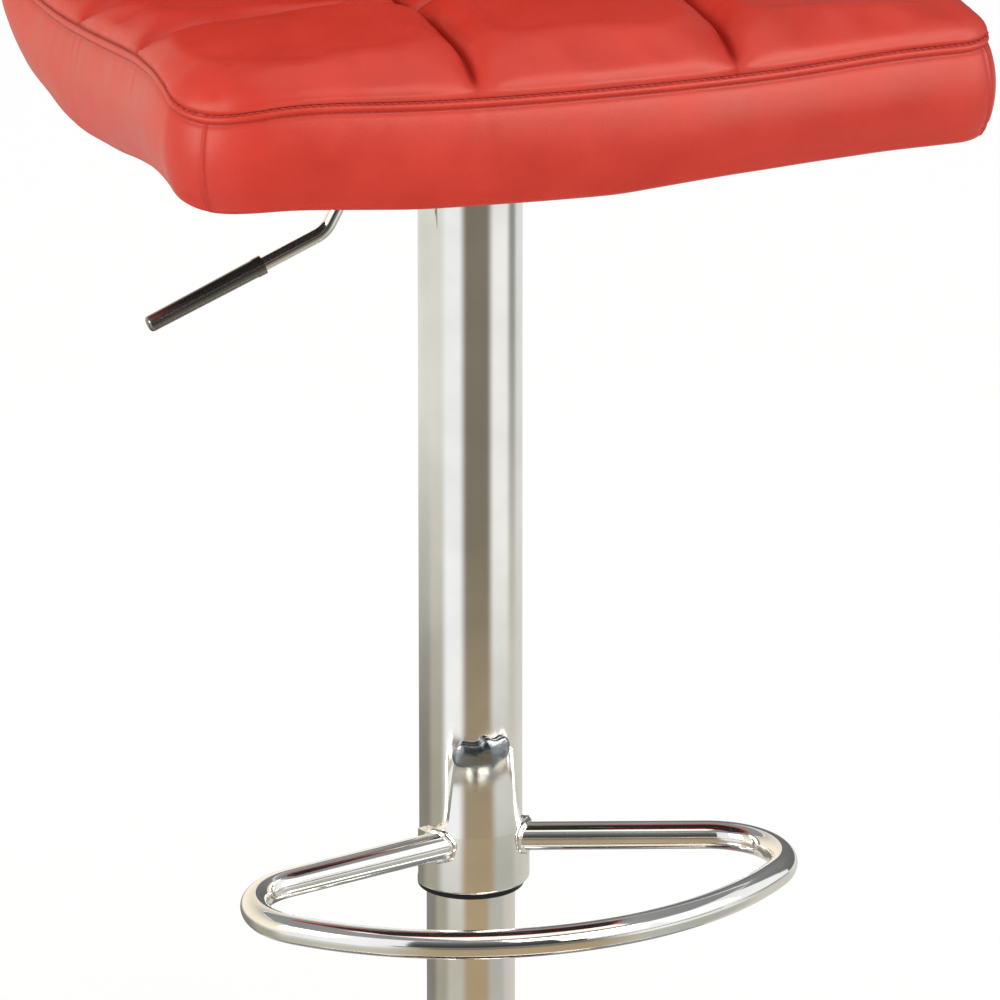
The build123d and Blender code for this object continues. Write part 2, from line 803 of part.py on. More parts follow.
def quilt_groove():
    """Side view of a sewn crease between two soft pads, drawn about the surface."""
    half = quilt_groove_width / 2
    with BuildSketch(mode=Mode.PRIVATE) as groove:
        with BuildLine():
            Polyline((-half, 0), (-half, crown_rise), (half, crown_rise), (half, 0))
            TangentArc((half, 0), (0, -quilt_groove_depth), tangent=(-1, 0))
            TangentArc((-half, 0), (0, -quilt_groove_depth), tangent=(1, 0))
        make_face()
    return groove.sketch


def crown_cutter(plane, thickness, start, end):
    """Solid above a pad's crowned top: highest along the middle, lower at the sides."""
    crown_radius = (seat_half_width**2 + crown_rise**2) / (2 * crown_rise)
    side_view = Plane(plane.from_local_coords((0, start, 0)), x_dir=plane.x_dir, z_dir=-plane.y_dir)
    with BuildPart() as cutter:
        with BuildSketch(side_view):
            with BuildLine():
                reach = seat_half_width + crown_rise
                drop = crown_radius - sqrt(crown_radius**2 - reach**2)
                ThreePointArc((-reach, thickness - drop), (0, thickness), (reach, thickness - drop))
                Polyline(
                    (reach, thickness - drop),
                    (reach, 2 * thickness),
                    (-reach, 2 * thickness),
                    (-reach, thickness - drop),
                )
            make_face()
        extrude(amount=start - end)
    return cutter.part


def bend_waste():
    """Solid outside the rounded bend, between the seat's underside and the back's rear."""
    bend_in = seat_plane.from_local_coords((0, seat_heel - bend_run, 0))
    bend_out = back_plane.from_local_coords((0, bend_run, 0))
    with BuildPart() as waste:
        with BuildSketch(Plane.YZ):
            with BuildLine():
                Line((bend_in.Y, bend_in.Z), (heel.Y, heel.Z))
                Line((heel.Y, heel.Z), (bend_out.Y, bend_out.Z))
                RadiusArc((bend_in.Y, bend_in.Z), (bend_out.Y, bend_out.Z), -bend_radius)
            make_face()
        extrude(amount=2 * seat_half_width, both=True)
    return waste.part


def shell_pocket():
    """Solid that the plywood and its coverings fill in the cushions."""
    with BuildPart() as pocket:
        pocket_strip = bent_strip(shell_front - fit_clearance, shell_back_end + fit_clearance, 0, shell_top)
        extrude(pocket_strip, amount=shell_half_width + fit_clearance, dir=(1, 0, 0), both=True)
        fillet(top_corners(pocket, shell_top), shell_corner_radius)
    return pocket.part


def sewn_edges(face):
    """Outer edges of a cushion's face, without the straight ones along the crease and the bend."""
    across = face.edges().filter_by(GeomType.LINE).filter_by(Axis.X)
    return face.edges() - across


def quilt_cutter(pad_plane, thickness, rows, start, end):
    """Bars that press two creases along a pad and one across it at each row."""
    top_plane = pad_plane.offset(thickness)
    with BuildPart() as cutter:
        for column in (-quilt_column, quilt_column):
            column_start = top_plane.from_local_coords((column, start, 0))
            with BuildSketch(Plane(column_start, x_dir=top_plane.x_dir, z_dir=-top_plane.y_dir)):
                add(quilt_groove())
            extrude(amount=start - end)
        for row in rows:
            row_start = top_plane.from_local_coords((-2 * seat_half_width, row, 0))
            with BuildSketch(Plane(row_start, x_dir=top_plane.y_dir, z_dir=top_plane.x_dir)):
                add(quilt_groove())
            extrude(amount=4 * seat_half_width)
    return cutter.part


# Seat cushion: bowed front, drawn-in sides, rolled top edge and crowned, quilted top
seat_corner = seat_front_bow - seat_front
seat_rear = seat_heel + seat_corner_radius
seat_side_middle = (seat_corner + seat_rear) / 2

with BuildPart() as seat_cushion:
    with BuildSketch(seat_plane) as seat_outline:
        with BuildLine():
            ThreePointArc((-seat_half_width, seat_corner), (0, -seat_front), (seat_half_width, seat_corner))
            ThreePointArc(
                (seat_half_width, seat_corner),
                (seat_half_width - side_draw, seat_side_middle),
                (seat_half_width, seat_rear),
            )
            Line((seat_half_width, seat_rear), (-seat_half_width, seat_rear))
            ThreePointArc(
                (-seat_half_width, seat_rear),
                (-seat_half_width + side_draw, seat_side_middle),
                (-seat_half_width, seat_corner),
            )
        make_face()
        fillet(seat_outline.vertices().sort_by(Axis.Y)[:2], seat_corner_radius)
    extrude(amount=seat_thickness)
    add(crown_cutter(seat_plane, seat_thickness, -2 * seat_front, 2 * seat_front), mode=Mode.SUBTRACT)
    add(bend_waste(), mode=Mode.SUBTRACT)
    split(bisect_by=miter_plane, keep=Keep.BOTTOM)
    seat_axis = Axis(seat_plane.origin, seat_plane.z_dir)
    fillet(sewn_edges(seat_cushion.faces().sort_by(seat_axis)[-1]), roll_radius)
    seat_hems = [sewn_edges(face) for face in seat_cushion.faces().sort_by(seat_axis)[:2]]
    fillet(seat_hems[0] + seat_hems[1], hem_radius)
    seat_creases = quilt_cutter(seat_plane, seat_thickness, seat_quilt_rows, -2 * seat_front, seat_heel)
    add(seat_creases, mode=Mode.SUBTRACT)
    add(shell_pocket(), mode=Mode.SUBTRACT)
    with BuildSketch(seat_plane):
        with GridLocations(bolt_spacing, bolt_spacing, 2, 2):
            Circle(tee_nut_diameter / 2 + fit_clearance)
    extrude(amount=shell_top + bolt_well, mode=Mode.SUBTRACT)
save(seat_cushion.part, "seat_cushion")

# Back cushion: bowed top, round corners, drawn-in sides and the same quilting
back_foot = -bend_radius
back_corner = back_length - back_top_bow
back_side_middle = (back_foot + back_corner) / 2

with BuildPart() as back_cushion:
    with BuildSketch(back_plane) as back_outline:
        with BuildLine():
            ThreePointArc((-seat_half_width, back_corner), (0, back_length), (seat_half_width, back_corner))
            ThreePointArc(
                (seat_half_width, back_corner),
                (seat_half_width - side_draw, back_side_middle),
                (seat_half_width, back_foot),
            )
            Line((seat_half_width, back_foot), (-seat_half_width, back_foot))
            ThreePointArc(
                (-seat_half_width, back_foot),
                (-seat_half_width + side_draw, back_side_middle),
                (-seat_half_width, back_corner),
            )
        make_face()
        fillet(back_outline.vertices().sort_by(Axis.Y)[-2:], back_corner_radius)
    extrude(amount=back_thickness)
    add(crown_cutter(back_plane, back_thickness, -2 * back_length, 2 * back_length), mode=Mode.SUBTRACT)
    add(bend_waste(), mode=Mode.SUBTRACT)
    split(bisect_by=miter_plane, keep=Keep.TOP)
    back_axis = Axis(back_plane.origin, back_plane.z_dir)
    fillet(sewn_edges(back_cushion.faces().sort_by(back_axis)[-1]), roll_radius)
    back_hems = [sewn_edges(face) for face in back_cushion.faces().sort_by(back_axis)[:2]]
    fillet(back_hems[0] + back_hems[1], hem_radius)
    back_creases = quilt_cutter(back_plane, back_thickness, back_quilt_rows, 0, 2 * back_length)
    add(back_creases, mode=Mode.SUBTRACT)
    add(shell_pocket(), mode=Mode.SUBTRACT)
save(back_cushion.part, "back_cushion")
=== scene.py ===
"""Adjustable swivel stool: upholstery, welds, finishes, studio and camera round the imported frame."""
import json
import math

import bpy
import numpy as np
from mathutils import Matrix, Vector


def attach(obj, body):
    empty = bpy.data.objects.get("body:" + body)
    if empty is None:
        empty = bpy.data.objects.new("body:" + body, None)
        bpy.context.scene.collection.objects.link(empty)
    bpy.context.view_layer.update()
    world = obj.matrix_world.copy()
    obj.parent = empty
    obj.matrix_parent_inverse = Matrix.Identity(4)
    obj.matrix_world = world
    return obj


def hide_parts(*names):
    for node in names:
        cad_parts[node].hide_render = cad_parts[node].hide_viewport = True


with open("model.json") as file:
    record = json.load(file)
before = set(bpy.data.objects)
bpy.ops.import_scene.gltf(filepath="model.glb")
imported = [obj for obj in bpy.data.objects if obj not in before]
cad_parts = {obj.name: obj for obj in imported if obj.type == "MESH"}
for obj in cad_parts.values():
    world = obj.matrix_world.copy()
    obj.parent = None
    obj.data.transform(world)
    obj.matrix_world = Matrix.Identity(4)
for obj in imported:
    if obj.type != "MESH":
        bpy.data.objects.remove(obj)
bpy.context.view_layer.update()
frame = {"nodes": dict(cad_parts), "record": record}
nodes = frame["nodes"]
scene = bpy.context.scene
scene.view_settings.view_transform = "Standard"
MM = 0.001

# Camera, in millimetres
view_turn = math.radians(18.0)
view_pitch = math.radians(18.765)
view_distance = 5000
view_side = 16.46
view_height = 2099
lens_length = 341.7
sensor_width = 36
clip_distance = 100000

camera = bpy.data.objects.new("camera", bpy.data.cameras.new("camera"))
scene.collection.objects.link(camera)
camera.data.lens = lens_length
camera.data.sensor_width = sensor_width
camera.data.clip_end = clip_distance * MM
camera.location = Vector((
    view_side * math.cos(view_turn) - view_distance * math.sin(view_turn),
    -view_side * math.sin(view_turn) - view_distance * math.cos(view_turn),
    view_height,
)) * MM
camera.rotation_euler = (math.pi / 2 - view_pitch, 0, -view_turn)
scene.camera = camera

# Seat sizes as in the part's source, in millimetres
seat_under_height = 638
seat_rake = math.radians(3.5)
back_lean = math.radians(11.8)
seat_front = 245
seat_heel = 163.7
back_length = 397
half_width = 225
front_bow = 24
top_bow = 8
side_draw = 4
left_corner = 44
right_corner = 22
top_corner = 45
seat_thickness = 80
back_thickness = 66
bend_radius = 86
shell_margin = 14
shell_front_margin = 45
dust_cover_end = 87
quilt_column = 72
seat_rows = (-119, -3)
back_rows = (184, 291)

# Places of the Mix node's colour sockets
MIX_SHARE = 0
MIX_FIRST = 6
MIX_SECOND = 7
MIX_RESULT = 2

# Finishes: texture scales are per metre, depths in metres
darkest_tone = 0.86
finish_cloud = 22
finish_bump = 0.4
leather_cloud = 26
leather_gloss = (0.34, 0.46)
pebble_scale = 750
fine_scale = 1900
pebble_bump = 0.16
pebble_depth = 0.00025
layer_scale = 60
layer_bump = 0.2
layer_depth = 0.0003


# Materials
def new_material(name, color, metallic=0.0, roughness=0.5, specular=0.5):
    """Material with a Principled shader, its node tree and the shader node."""
    material = bpy.data.materials.new(name)
    material.use_nodes = True
    tree = material.node_tree
    shader = tree.nodes["Principled BSDF"]
    shader.inputs["Base Color"].default_value = (*color, 1)
    shader.inputs["Metallic"].default_value = metallic
    shader.inputs["Roughness"].default_value = roughness
    shader.inputs["Specular IOR Level"].default_value = specular
    return material, tree, shader


def set_shader(material, socket, value):
    """Set one number of a material's Principled shader."""
    material.node_tree.nodes["Principled BSDF"].inputs[socket].default_value = value


def texture(tree, kind, scale, stretch=(1, 1, 1), **inputs):
    """Procedural texture in object coordinates; the scale is per metre."""
    place = tree.nodes.new("ShaderNodeTexCoord")
    mapping = tree.nodes.new("ShaderNodeMapping")
    mapping.inputs["Scale"].default_value = stretch
    tree.links.new(place.outputs["Object"], mapping.inputs["Vector"])
    node = tree.nodes.new(kind)
    tree.links.new(mapping.outputs["Vector"], node.inputs["Vector"])
    node.inputs["Scale"].default_value = scale
    for name, value in inputs.items():
        node.inputs[name].default_value = value
    return node


def mixed_color(tree, share, first, second):
    """Mix of two colours by a share from 0 to 1; each is a colour or a node's output."""
    mix = tree.nodes.new("ShaderNodeMix")
    mix.data_type = "RGBA"
    tree.links.new(share, mix.inputs[MIX_SHARE])
    for socket, color in ((mix.inputs[MIX_FIRST], first), (mix.inputs[MIX_SECOND], second)):
        if isinstance(color, tuple):
            socket.default_value = (*color, 1)
        else:
            tree.links.new(color, socket)
    return mix.outputs[MIX_RESULT]


def ramp(tree, source, low, high, start=0.3, end=0.7):
    """Spread a node's value between two numbers or two colours."""
    node = tree.nodes.new("ShaderNodeMapRange")
    node.inputs["From Min"].default_value = start
    node.inputs["From Max"].default_value = end
    tree.links.new(source, node.inputs["Value"])
    if isinstance(low, tuple):
        return mixed_color(tree, node.outputs["Result"], low, high)
    node.inputs["To Min"].default_value = low
    node.inputs["To Max"].default_value = high
    return node.outputs["Result"]


def add_bump(tree, shader, height, strength, distance):
    """Surface relief from a texture's value; the distance is in metres."""
    bump = tree.nodes.new("ShaderNodeBump")
    bump.inputs["Strength"].default_value = strength
    bump.inputs["Distance"].default_value = distance
    tree.links.new(height, bump.inputs["Height"])
    tree.links.new(bump.outputs["Normal"], shader.inputs["Normal"])


def darker(color):
    return tuple(darkest_tone * part for part in color)


def speckled(name, color, metal, rough, grain, relief, spread=0.06, stretch=(1, 1, 1)):
    """Finish whose gloss, tone and relief vary a little over the surface."""
    material, tree, shader = new_material(name, color, metal, rough)
    cloud = texture(tree, "ShaderNodeTexNoise", finish_cloud, stretch, Detail=5)
    gloss = ramp(tree, cloud.outputs[0], rough - spread, rough + spread)
    tree.links.new(gloss, shader.inputs["Roughness"])
    tree.links.new(ramp(tree, cloud.outputs[0], darker(color), color), shader.inputs["Base Color"])
    speckle = texture(tree, "ShaderNodeTexNoise", grain, stretch, Detail=3)
    add_bump(tree, shader, speckle.outputs[0], finish_bump, relief)
    return material


def leatherette(name, light, shade_color, shade_attribute):
    """Pebbled leatherette with painted shade: darker where the named attribute marks a crease or a seam's
    groove.
    """
    material, tree, shader = new_material(name, light, roughness=0.4, specular=0.4)
    cloud = texture(tree, "ShaderNodeTexNoise", leather_cloud, Detail=5)
    tone = ramp(tree, cloud.outputs[0], darker(light), light)
    # Painted shade: the attribute's share mixes the tone towards the darker colour
    painted_shade = tree.nodes.new("ShaderNodeAttribute")
    painted_shade.attribute_name = shade_attribute
    tree.links.new(mixed_color(tree, painted_shade.outputs["Fac"], tone, shade_color), shader.inputs["Base Color"])
    tree.links.new(ramp(tree, cloud.outputs[0], *leather_gloss), shader.inputs["Roughness"])
    pebble = texture(tree, "ShaderNodeTexVoronoi", pebble_scale)
    fine = texture(tree, "ShaderNodeTexNoise", fine_scale, Detail=2)
    both = tree.nodes.new("ShaderNodeMath")
    tree.links.new(pebble.outputs["Distance"], both.inputs[0])
    tree.links.new(fine.outputs[0], both.inputs[1])
    add_bump(tree, shader, both.outputs[0], pebble_bump, pebble_depth)
    return material


# The second colour is painted shade, laid on the creases and seam grooves through the 'crease' attribute
red = leatherette("red_leatherette", (0.62, 0.031, 0.015), (0.32, 0.012, 0.007), "crease")
thread = speckled("red_thread", (0.50, 0.034, 0.022), metal=0, rough=0.6, grain=2500, relief=0.0002)
chrome = speckled(
    "chrome", (0.90, 0.90, 0.89), metal=1, rough=0.075, grain=1400, relief=0.000004, spread=0.025
)
weld_metal = speckled("weld", (0.28, 0.31, 0.34), metal=1, rough=0.2, grain=280, relief=0.001, spread=0.08)
steel = speckled(
    "steel",
    (0.56, 0.56, 0.57),
    metal=1,
    rough=0.32,
    grain=1600,
    relief=0.00003,
    spread=0.08,
    stretch=(1, 1, 6),
)
black_metal = speckled("black_metal", (0.022, 0.022, 0.023), metal=0, rough=0.38, grain=1100, relief=0.00006)
iron = speckled("ballast_iron", (0.09, 0.09, 0.095), metal=0.6, rough=0.6, grain=500, relief=0.0004)
rubber = speckled("black_rubber", (0.020, 0.020, 0.021), metal=0, rough=0.72, grain=1500, relief=0.0001)
plastic = speckled("black_plastic", (0.018, 0.018, 0.019), metal=0, rough=0.42, grain=1500, relief=0.00008)
set_shader(plastic, "Specular IOR Level", 0.12)
grip_plastic = speckled(
    "grip_plastic", (0.016, 0.016, 0.016), metal=0, rough=0.15, grain=1200, relief=0.00002
)
set_shader(grip_plastic, "IOR", 2.9)
cloth = speckled("black_cloth", (0.022, 0.022, 0.024), metal=0, rough=0.85, grain=1300, relief=0.0004)

plywood, wood_tree, wood_shader = new_material("plywood", (0.55, 0.38, 0.22), roughness=0.6)
layers = texture(wood_tree, "ShaderNodeTexWave", layer_scale, stretch=(0.3, 1, 3), Distortion=3, Detail=3)
wood_tone = ramp(wood_tree, layers.outputs["Fac"], (0.42, 0.27, 0.15), (0.62, 0.45, 0.28))
wood_tree.links.new(wood_tone, wood_shader.inputs["Base Color"])
add_bump(wood_tree, wood_shader, layers.outputs["Fac"], layer_bump, layer_depth)

finishes = {
    "chrome": chrome,
    "steel": steel,
    "black_metal": black_metal,
    "ballast_iron": iron,
    "black_rubber": rubber,
    "black_plastic": plastic,
    "grip_plastic": grip_plastic,
    "plywood": plywood,
    "red_leatherette": red,
    "black_cloth": cloth,
}
for subpart in frame["record"]["subparts"]:
    mesh = nodes[subpart["node"]].data
    mesh.materials.clear()
    mesh.materials.append(finishes[subpart["material_slot"]])


# Pieces
def new_piece(name, points, faces, material):
    """Smooth mesh piece from points in millimetres, riding on the seat."""
    mesh = bpy.data.meshes.new(name)
    mesh.from_pydata((np.asarray(points) * MM).tolist(), [], faces)
    mesh.update()
    mesh.shade_smooth()
    mesh.materials.append(material)
    piece = bpy.data.objects.new(name, mesh)
    scene.collection.objects.link(piece)
    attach(piece, "seat")
    return piece


def grid_faces(rows, columns, first=0, closed=False):
    """Quads between the rows of a grid of points; a closed grid joins its last column to its first."""
    faces = []
    for row in range(rows - 1):
        for column in range(columns if closed else columns - 1):
            after = (column + 1) % columns
            start = first + row * columns
            faces.append((start + column, start + after, start + columns + after, start + columns + column))
    return faces


def tube_faces(rings, sides, first=0):
    """Faces of a tube with closed ends; its rings follow one another in the list of points."""
    faces = grid_faces(rings, sides, first, True)
    faces.append(tuple(first + side for side in range(sides - 1, -1, -1)))
    faces.append(tuple(first + (rings - 1) * sides + side for side in range(sides)))
    return faces


def ring_faces(rings, sides):
    """Faces of a tube that runs round into itself."""
    faces = grid_faces(rings, sides, 0, True)
    last = (rings - 1) * sides
    for side in range(sides):
        after = (side + 1) % sides
        faces.append((last + side, last + after, after, side))
    return faces


def grid_outline(rows, columns):
    """Rows and columns of the places round the edge of a grid, once round."""
    last_row, last_column = rows - 1, columns - 1
    places = [(0, column) for column in range(last_column)]
    places += [(row, last_column) for row in range(last_row)]
    places += [(last_row, column) for column in range(last_column, 0, -1)]
    places += [(row, 0) for row in range(last_row, 0, -1)]
    return places


# Lines
def lengths_along(points):
    """Length from the start of a line to each of its points."""
    return np.concatenate([[0], np.cumsum(np.linalg.norm(np.diff(points, axis=0), axis=1))])


def placed_along(places, lengths, points):
    """Points of a line at the given lengths along it."""
    return np.stack([np.interp(places, lengths, points[:, axis]) for axis in range(points.shape[1])], -1)


def spaced(points, count):
    """Points again, evenly spaced along their line."""
    lengths = lengths_along(points)
    return placed_along(np.linspace(0, lengths[-1], count), lengths, points)


def soft_kernel(reach):
    """Weights of a smooth average that reaches as far to both sides."""
    kernel = np.hanning(2 * reach + 3)[1:-1]
    return kernel / kernel.sum()


def smoothed(points, reach):
    """Side-view line with its corners rounded off and its ends kept."""
    kernel = soft_kernel(reach)
    padded_line = np.concatenate([
        2 * points[0] - points[reach:0:-1], points, 2 * points[-1] - points[-2 : -reach - 2 : -1]
    ])
    return np.stack([np.convolve(padded_line[:, axis], kernel, "valid") for axis in range(2)], -1)


def smooth_curve(knots, reach):
    """Dense smooth curve past a few (place, value) knots; gives its places and its values."""
    places, values = zip(*knots)
    dense = np.arange(places[0] - reach, places[-1] + reach + 1)
    steady = np.pad(np.interp(dense, places, values), reach, "edge")
    return dense, np.convolve(steady, soft_kernel(reach), "valid")


# Side view of the seat and back: run is measured along a panel, depth inward from its outer face
def seat_point(run, depth):
    y = run * math.cos(seat_rake) + depth * math.sin(seat_rake)
    z = seat_under_height - run * math.sin(seat_rake) + depth * math.cos(seat_rake)
    return np.stack(np.broadcast_arrays(y, z), -1)


heel = seat_point(seat_heel, 0)


def back_point(run, depth):
    y = heel[0] + run * math.sin(back_lean) - depth * math.cos(back_lean)
    z = heel[1] + run * math.cos(back_lean) + depth * math.sin(back_lean)
    return np.stack(np.broadcast_arrays(y, z), -1)


heel_angle = math.pi / 2 + back_lean - seat_rake
bend_run = bend_radius / math.tan(heel_angle / 2)
bend_points = 40
bend_centre = seat_point(seat_heel - bend_run, bend_radius)
bend_from = math.atan2(*(seat_point(0, 0) - seat_point(0, 1))[::-1])
bend_angles = bend_from + np.linspace(0, math.pi - heel_angle, bend_points)
bend_arc = bend_centre + bend_radius * np.stack([np.cos(bend_angles), np.sin(bend_angles)], -1)

# Long lines of the pad: along the seat, round the turn into the back and up to its top
crease_on_seat = (back_thickness + seat_thickness * math.cos(heel_angle)) / math.sin(heel_angle)
crease_on_back = (seat_thickness + back_thickness * math.cos(heel_angle)) / math.sin(heel_angle)
turn_start = 60
turn_end = 130
front_overrun = 60
top_overrun = 60
outer_smoothing = 14
inner_smoothing = 12
seat_run = seat_front + turn_start
top_turn = (seat_heel - crease_on_seat - turn_start) + (turn_end - crease_on_back)
pad_length = seat_run + top_turn + back_length - turn_end
turn_count = int(top_turn) + 1
crease_place = seat_run + seat_heel - crease_on_seat - turn_start
outer_turn = np.concatenate([
    seat_point(np.array([turn_start]), 0),
    bend_arc,
    back_point(np.array([turn_end]), 0),
])
inner_turn = np.concatenate([
    seat_point(np.array([turn_start, seat_heel - crease_on_seat]), seat_thickness),
    back_point(np.array([turn_end]), back_thickness),
])


def long_line(turn, seat_depth, back_depth, reach):
    """Smoothed line at a depth in the seat and one in the back, with a point about each millimetre."""
    line = np.concatenate([
        seat_point(np.arange(-seat_front - front_overrun, turn_start), seat_depth),
        spaced(turn, turn_count),
        back_point(np.arange(turn_end + 1, back_length + top_overrun), back_depth),
    ])
    return smoothed(line, reach)


outer_line = long_line(outer_turn, 0, 0, outer_smoothing)
inner_line = long_line(inner_turn, seat_thickness, back_thickness, inner_smoothing)
line_places = np.linspace(-front_overrun, pad_length + top_overrun - 1, len(outer_line))

# The seat's long curve: how far its seam and its hem rise over the straight lines of the shell
seam_height = 56
seam_depth = seam_height / seat_thickness
seam_knots = (
    (-60, -6), (0, -3), (40, 2.5), (90, 7.5), (125, 8), (150, 6.5),
    (180, 4), (220, 1.2), (260, -0.8), (300, -1.2), (350, 0),
)
hem_knots = (
    (0, 0), (35, 5), (105, 5.5), (140, 3), (175, -1.2), (247, -5.6),
    (290, -2.5), (312, 3), (330, 6.5), (350, 6.5), (380, 3), (413, 0),
)
seam_curve = smooth_curve(seam_knots, reach=18)
hem_curve = smooth_curve(hem_knots, reach=26)
left_droop = 7.5
right_droop = 1.5
corner_reach = 36
front_arch = 2.0
arch_place = 160
arch_reach = 45
arch_fade = 40


def pad_point(across, along, depth, follow=True):
    """Place in the stool of a point of the pad; depth goes from 0 on the outer face to 1 on the sat-on face.

    A point that follows the cover rises and droops with its seam and hem, others stay on the shell's lines.
    """
    points = np.empty(np.broadcast(across, along, depth).shape + (3,))
    points[..., 0] = across
    for axis in range(2):
        outer = np.interp(along, line_places, outer_line[:, axis])
        inner = np.interp(along, line_places, inner_line[:, axis])
        points[..., axis + 1] = outer * (1 - depth) + inner * depth
    if follow:
        upper = np.clip(depth / seam_depth, 0, 1)
        lift = np.interp(along, *seam_curve) * upper + np.interp(along, *hem_curve) * (1 - upper)
        from_corner = np.hypot(half_width - np.abs(across), along - front_bow)
        arch = front_arch * np.exp(-(((np.abs(across) - arch_place) / arch_reach) ** 2))
        arch *= np.exp(-np.maximum(along, 0) / arch_fade) * upper
        droop = np.where(across < 0, left_droop, right_droop) * np.exp(-((from_corner / corner_reach) ** 2))
        points[..., 2] += lift + arch - droop
    return points


def rounded_plan(across_lines, along_lines, half, length, front_radius, top_radius):
    """Grid over a rectangle whose corners are rounded; gives across, along and the distance from the edge."""
    across, along = np.meshgrid(across_lines, along_lines)
    side = half - np.abs(across)
    sign = np.where(across < 0, -1.0, 1.0)
    out_across, out_along = across.copy(), along.copy()
    edge = np.minimum(side, np.minimum(along, length - along))
    for end, radius in ((0, front_radius), (length, top_radius)):
        inset = np.abs(along - end)
        level = np.minimum(side, inset)
        arc = radius - level
        past = np.maximum(side, inset) - level
        near = (arc > 1e-6) & (past < arc)
        angle = np.pi / 4 * (1 - past / np.where(near, arc, 1))
        on_end = inset <= side
        to_side = np.where(on_end, np.sin(angle), np.cos(angle))
        to_end = np.where(on_end, np.cos(angle), np.sin(angle))
        inward = 1 if end == 0 else -1
        out_across = np.where(near, sign * (half - radius + arc * to_side), out_across)
        out_along = np.where(near, end + inward * (radius - arc * to_end), out_along)
    return out_across, out_along, edge


coarse_step = 5.0
least_step = 0.2
roll_lines = 11
beside_crease = np.array([0, 0.8, 1.8, 3, 4.6, 6.8, 9.6, 13])


def graded_lines(low, high, roll, creases):
    """Places across a pad: close together over the rolled edges and at the creases."""
    roll_steps = roll * (1 - np.cos(np.linspace(0, np.pi / 2, roll_lines)))
    places = list(low + roll_steps) + list(high - roll_steps)
    for crease in creases:
        places += list(crease + beside_crease) + list(crease - beside_crease)
    fixed = np.array(sorted(places))
    filled = [fixed[0]]
    for place in fixed[1:]:
        steps = max(1, round((place - filled[-1]) / coarse_step))
        filled += list(np.linspace(filled[-1], place, steps + 1)[1:])
    places = np.array(filled)
    keep = np.concatenate([[True], np.diff(places) > least_step])
    return places[keep]


def waves(across, along, count, shortest, longest, seed):
    """Soft irregular ripples between -1 and 1, the same each time."""
    draw = np.random.default_rng(seed)
    total = np.zeros(np.broadcast(across, along).shape)
    for _ in range(count):
        heading = draw.uniform(0, np.pi)
        length = draw.uniform(shortest, longest)
        phase = draw.uniform(0, 2 * np.pi)
        travel = across * np.cos(heading) + along * np.sin(heading)
        total += np.sin(2 * np.pi * travel / length + phase)
    return total / count


front_bow_reach = 190
top_bow_reach = 150
draw_margin = 10
waist_draw = 2
waist_place = 350
waist_reach = 48


def bowed(across, along):
    """Bow of the front edge and the top edge, and sides drawn in between the corners."""
    share = (across / half_width) ** 2
    front_fade = np.clip(1 - along / front_bow_reach, 0, 1) ** 2
    top_fade = np.clip(1 - (pad_length - along) / top_bow_reach, 0, 1) ** 2
    shifted = along + front_bow * share * front_fade - top_bow * share * top_fade
    seat_share = (along - draw_margin) / (crease_place - draw_margin)
    back_share = (along - crease_place) / (pad_length - crease_place - draw_margin)
    seat_middle = np.sin(np.pi * np.clip(seat_share, 0, 1))
    back_middle = np.sin(np.pi * np.clip(back_share, 0, 1))
    waist = waist_draw * np.exp(-(((along - waist_place) / waist_reach) ** 2))
    drawn = across * (1 - (side_draw * (seat_middle + back_middle) + waist) / half_width)
    return drawn, shifted


# Upholstery: top with rolled edges, before its quilting
roll_width = 34
crown_share = 0.12
row_places = [seat_front + row for row in seat_rows] + [crease_place]
row_places += [seat_run + top_turn + row - turn_end for row in back_rows]
columns = (-quilt_column, quilt_column)
across_lines = graded_lines(-half_width, half_width, roll_width, columns)
along_lines = graded_lines(0, pad_length, roll_width, row_places)
front_corners = np.where(across_lines < 0, left_corner, right_corner)
flat_across, flat_along, edge = rounded_plan(
    across_lines, along_lines, half_width, pad_length, front_corners, top_corner
)
plan_across, plan_along = bowed(flat_across, flat_along)
roll_share = np.clip(edge / roll_width, 0, 1)
rise = np.sqrt(1 - (1 - roll_share) ** 2)
top_depth = 1 - crown_share * (plan_across / half_width) ** 2
quilt_base = pad_point(plan_across, plan_along, seam_depth + (top_depth - seam_depth) * rise)


def surface_normals(points):
    """Unit normals of a grid of points, on the side that faces the sitter."""
    normals = np.cross(np.gradient(points, axis=1), np.gradient(points, axis=0))
    return normals / np.maximum(np.linalg.norm(normals, axis=-1, keepdims=True), 1e-9)


def eased(distance, reach):
    """Share that grows from 0 at the seam to 1 at a reach from it, without a kink at its end."""
    share = np.clip(distance / reach, 0, 1)
    return share * (2 - share)


# Quilting: depths and heights of its forms, and how far each reaches from a seam, crossing or edge
hollow_depth = 5.5
hollow_reach = 34
dimple_depth = 5.5
dimple_reach = 24
fold_depth = 8.0
fold_reach = 3.6
hollow_inset = 20
fold_inset = 6
plump_height = 3.5
plump_reach = 26
plump_inset = 40
pull_height = 0.55
pull_count = 9
pull_reach = 22
pull_start = 8
ripple_height = 0.55
gather_height = 0.45
gather_reach = 7
column_gap = np.min([np.abs(flat_across - column) for column in columns], axis=0)
row_gap = np.min([np.abs(flat_along - row) for row in row_places], axis=0)
nearest = np.minimum(column_gap, row_gap)
crossing = np.hypot(column_gap, row_gap)
hollow = hollow_depth * np.clip(1 - nearest / hollow_reach, 0, 1) ** 2
hollow = hollow + dimple_depth * np.exp(-((crossing / dimple_reach) ** 2))
fold = fold_depth * np.exp(-nearest / fold_reach)
crease_depth = hollow * eased(edge, hollow_inset) + fold * eased(edge, fold_inset)
plump = plump_height * (1 - np.exp(-nearest / plump_reach)) * np.clip(edge / plump_inset, 0, 1)
pull = pull_height * np.cos(pull_count * np.arctan2(row_gap, column_gap))
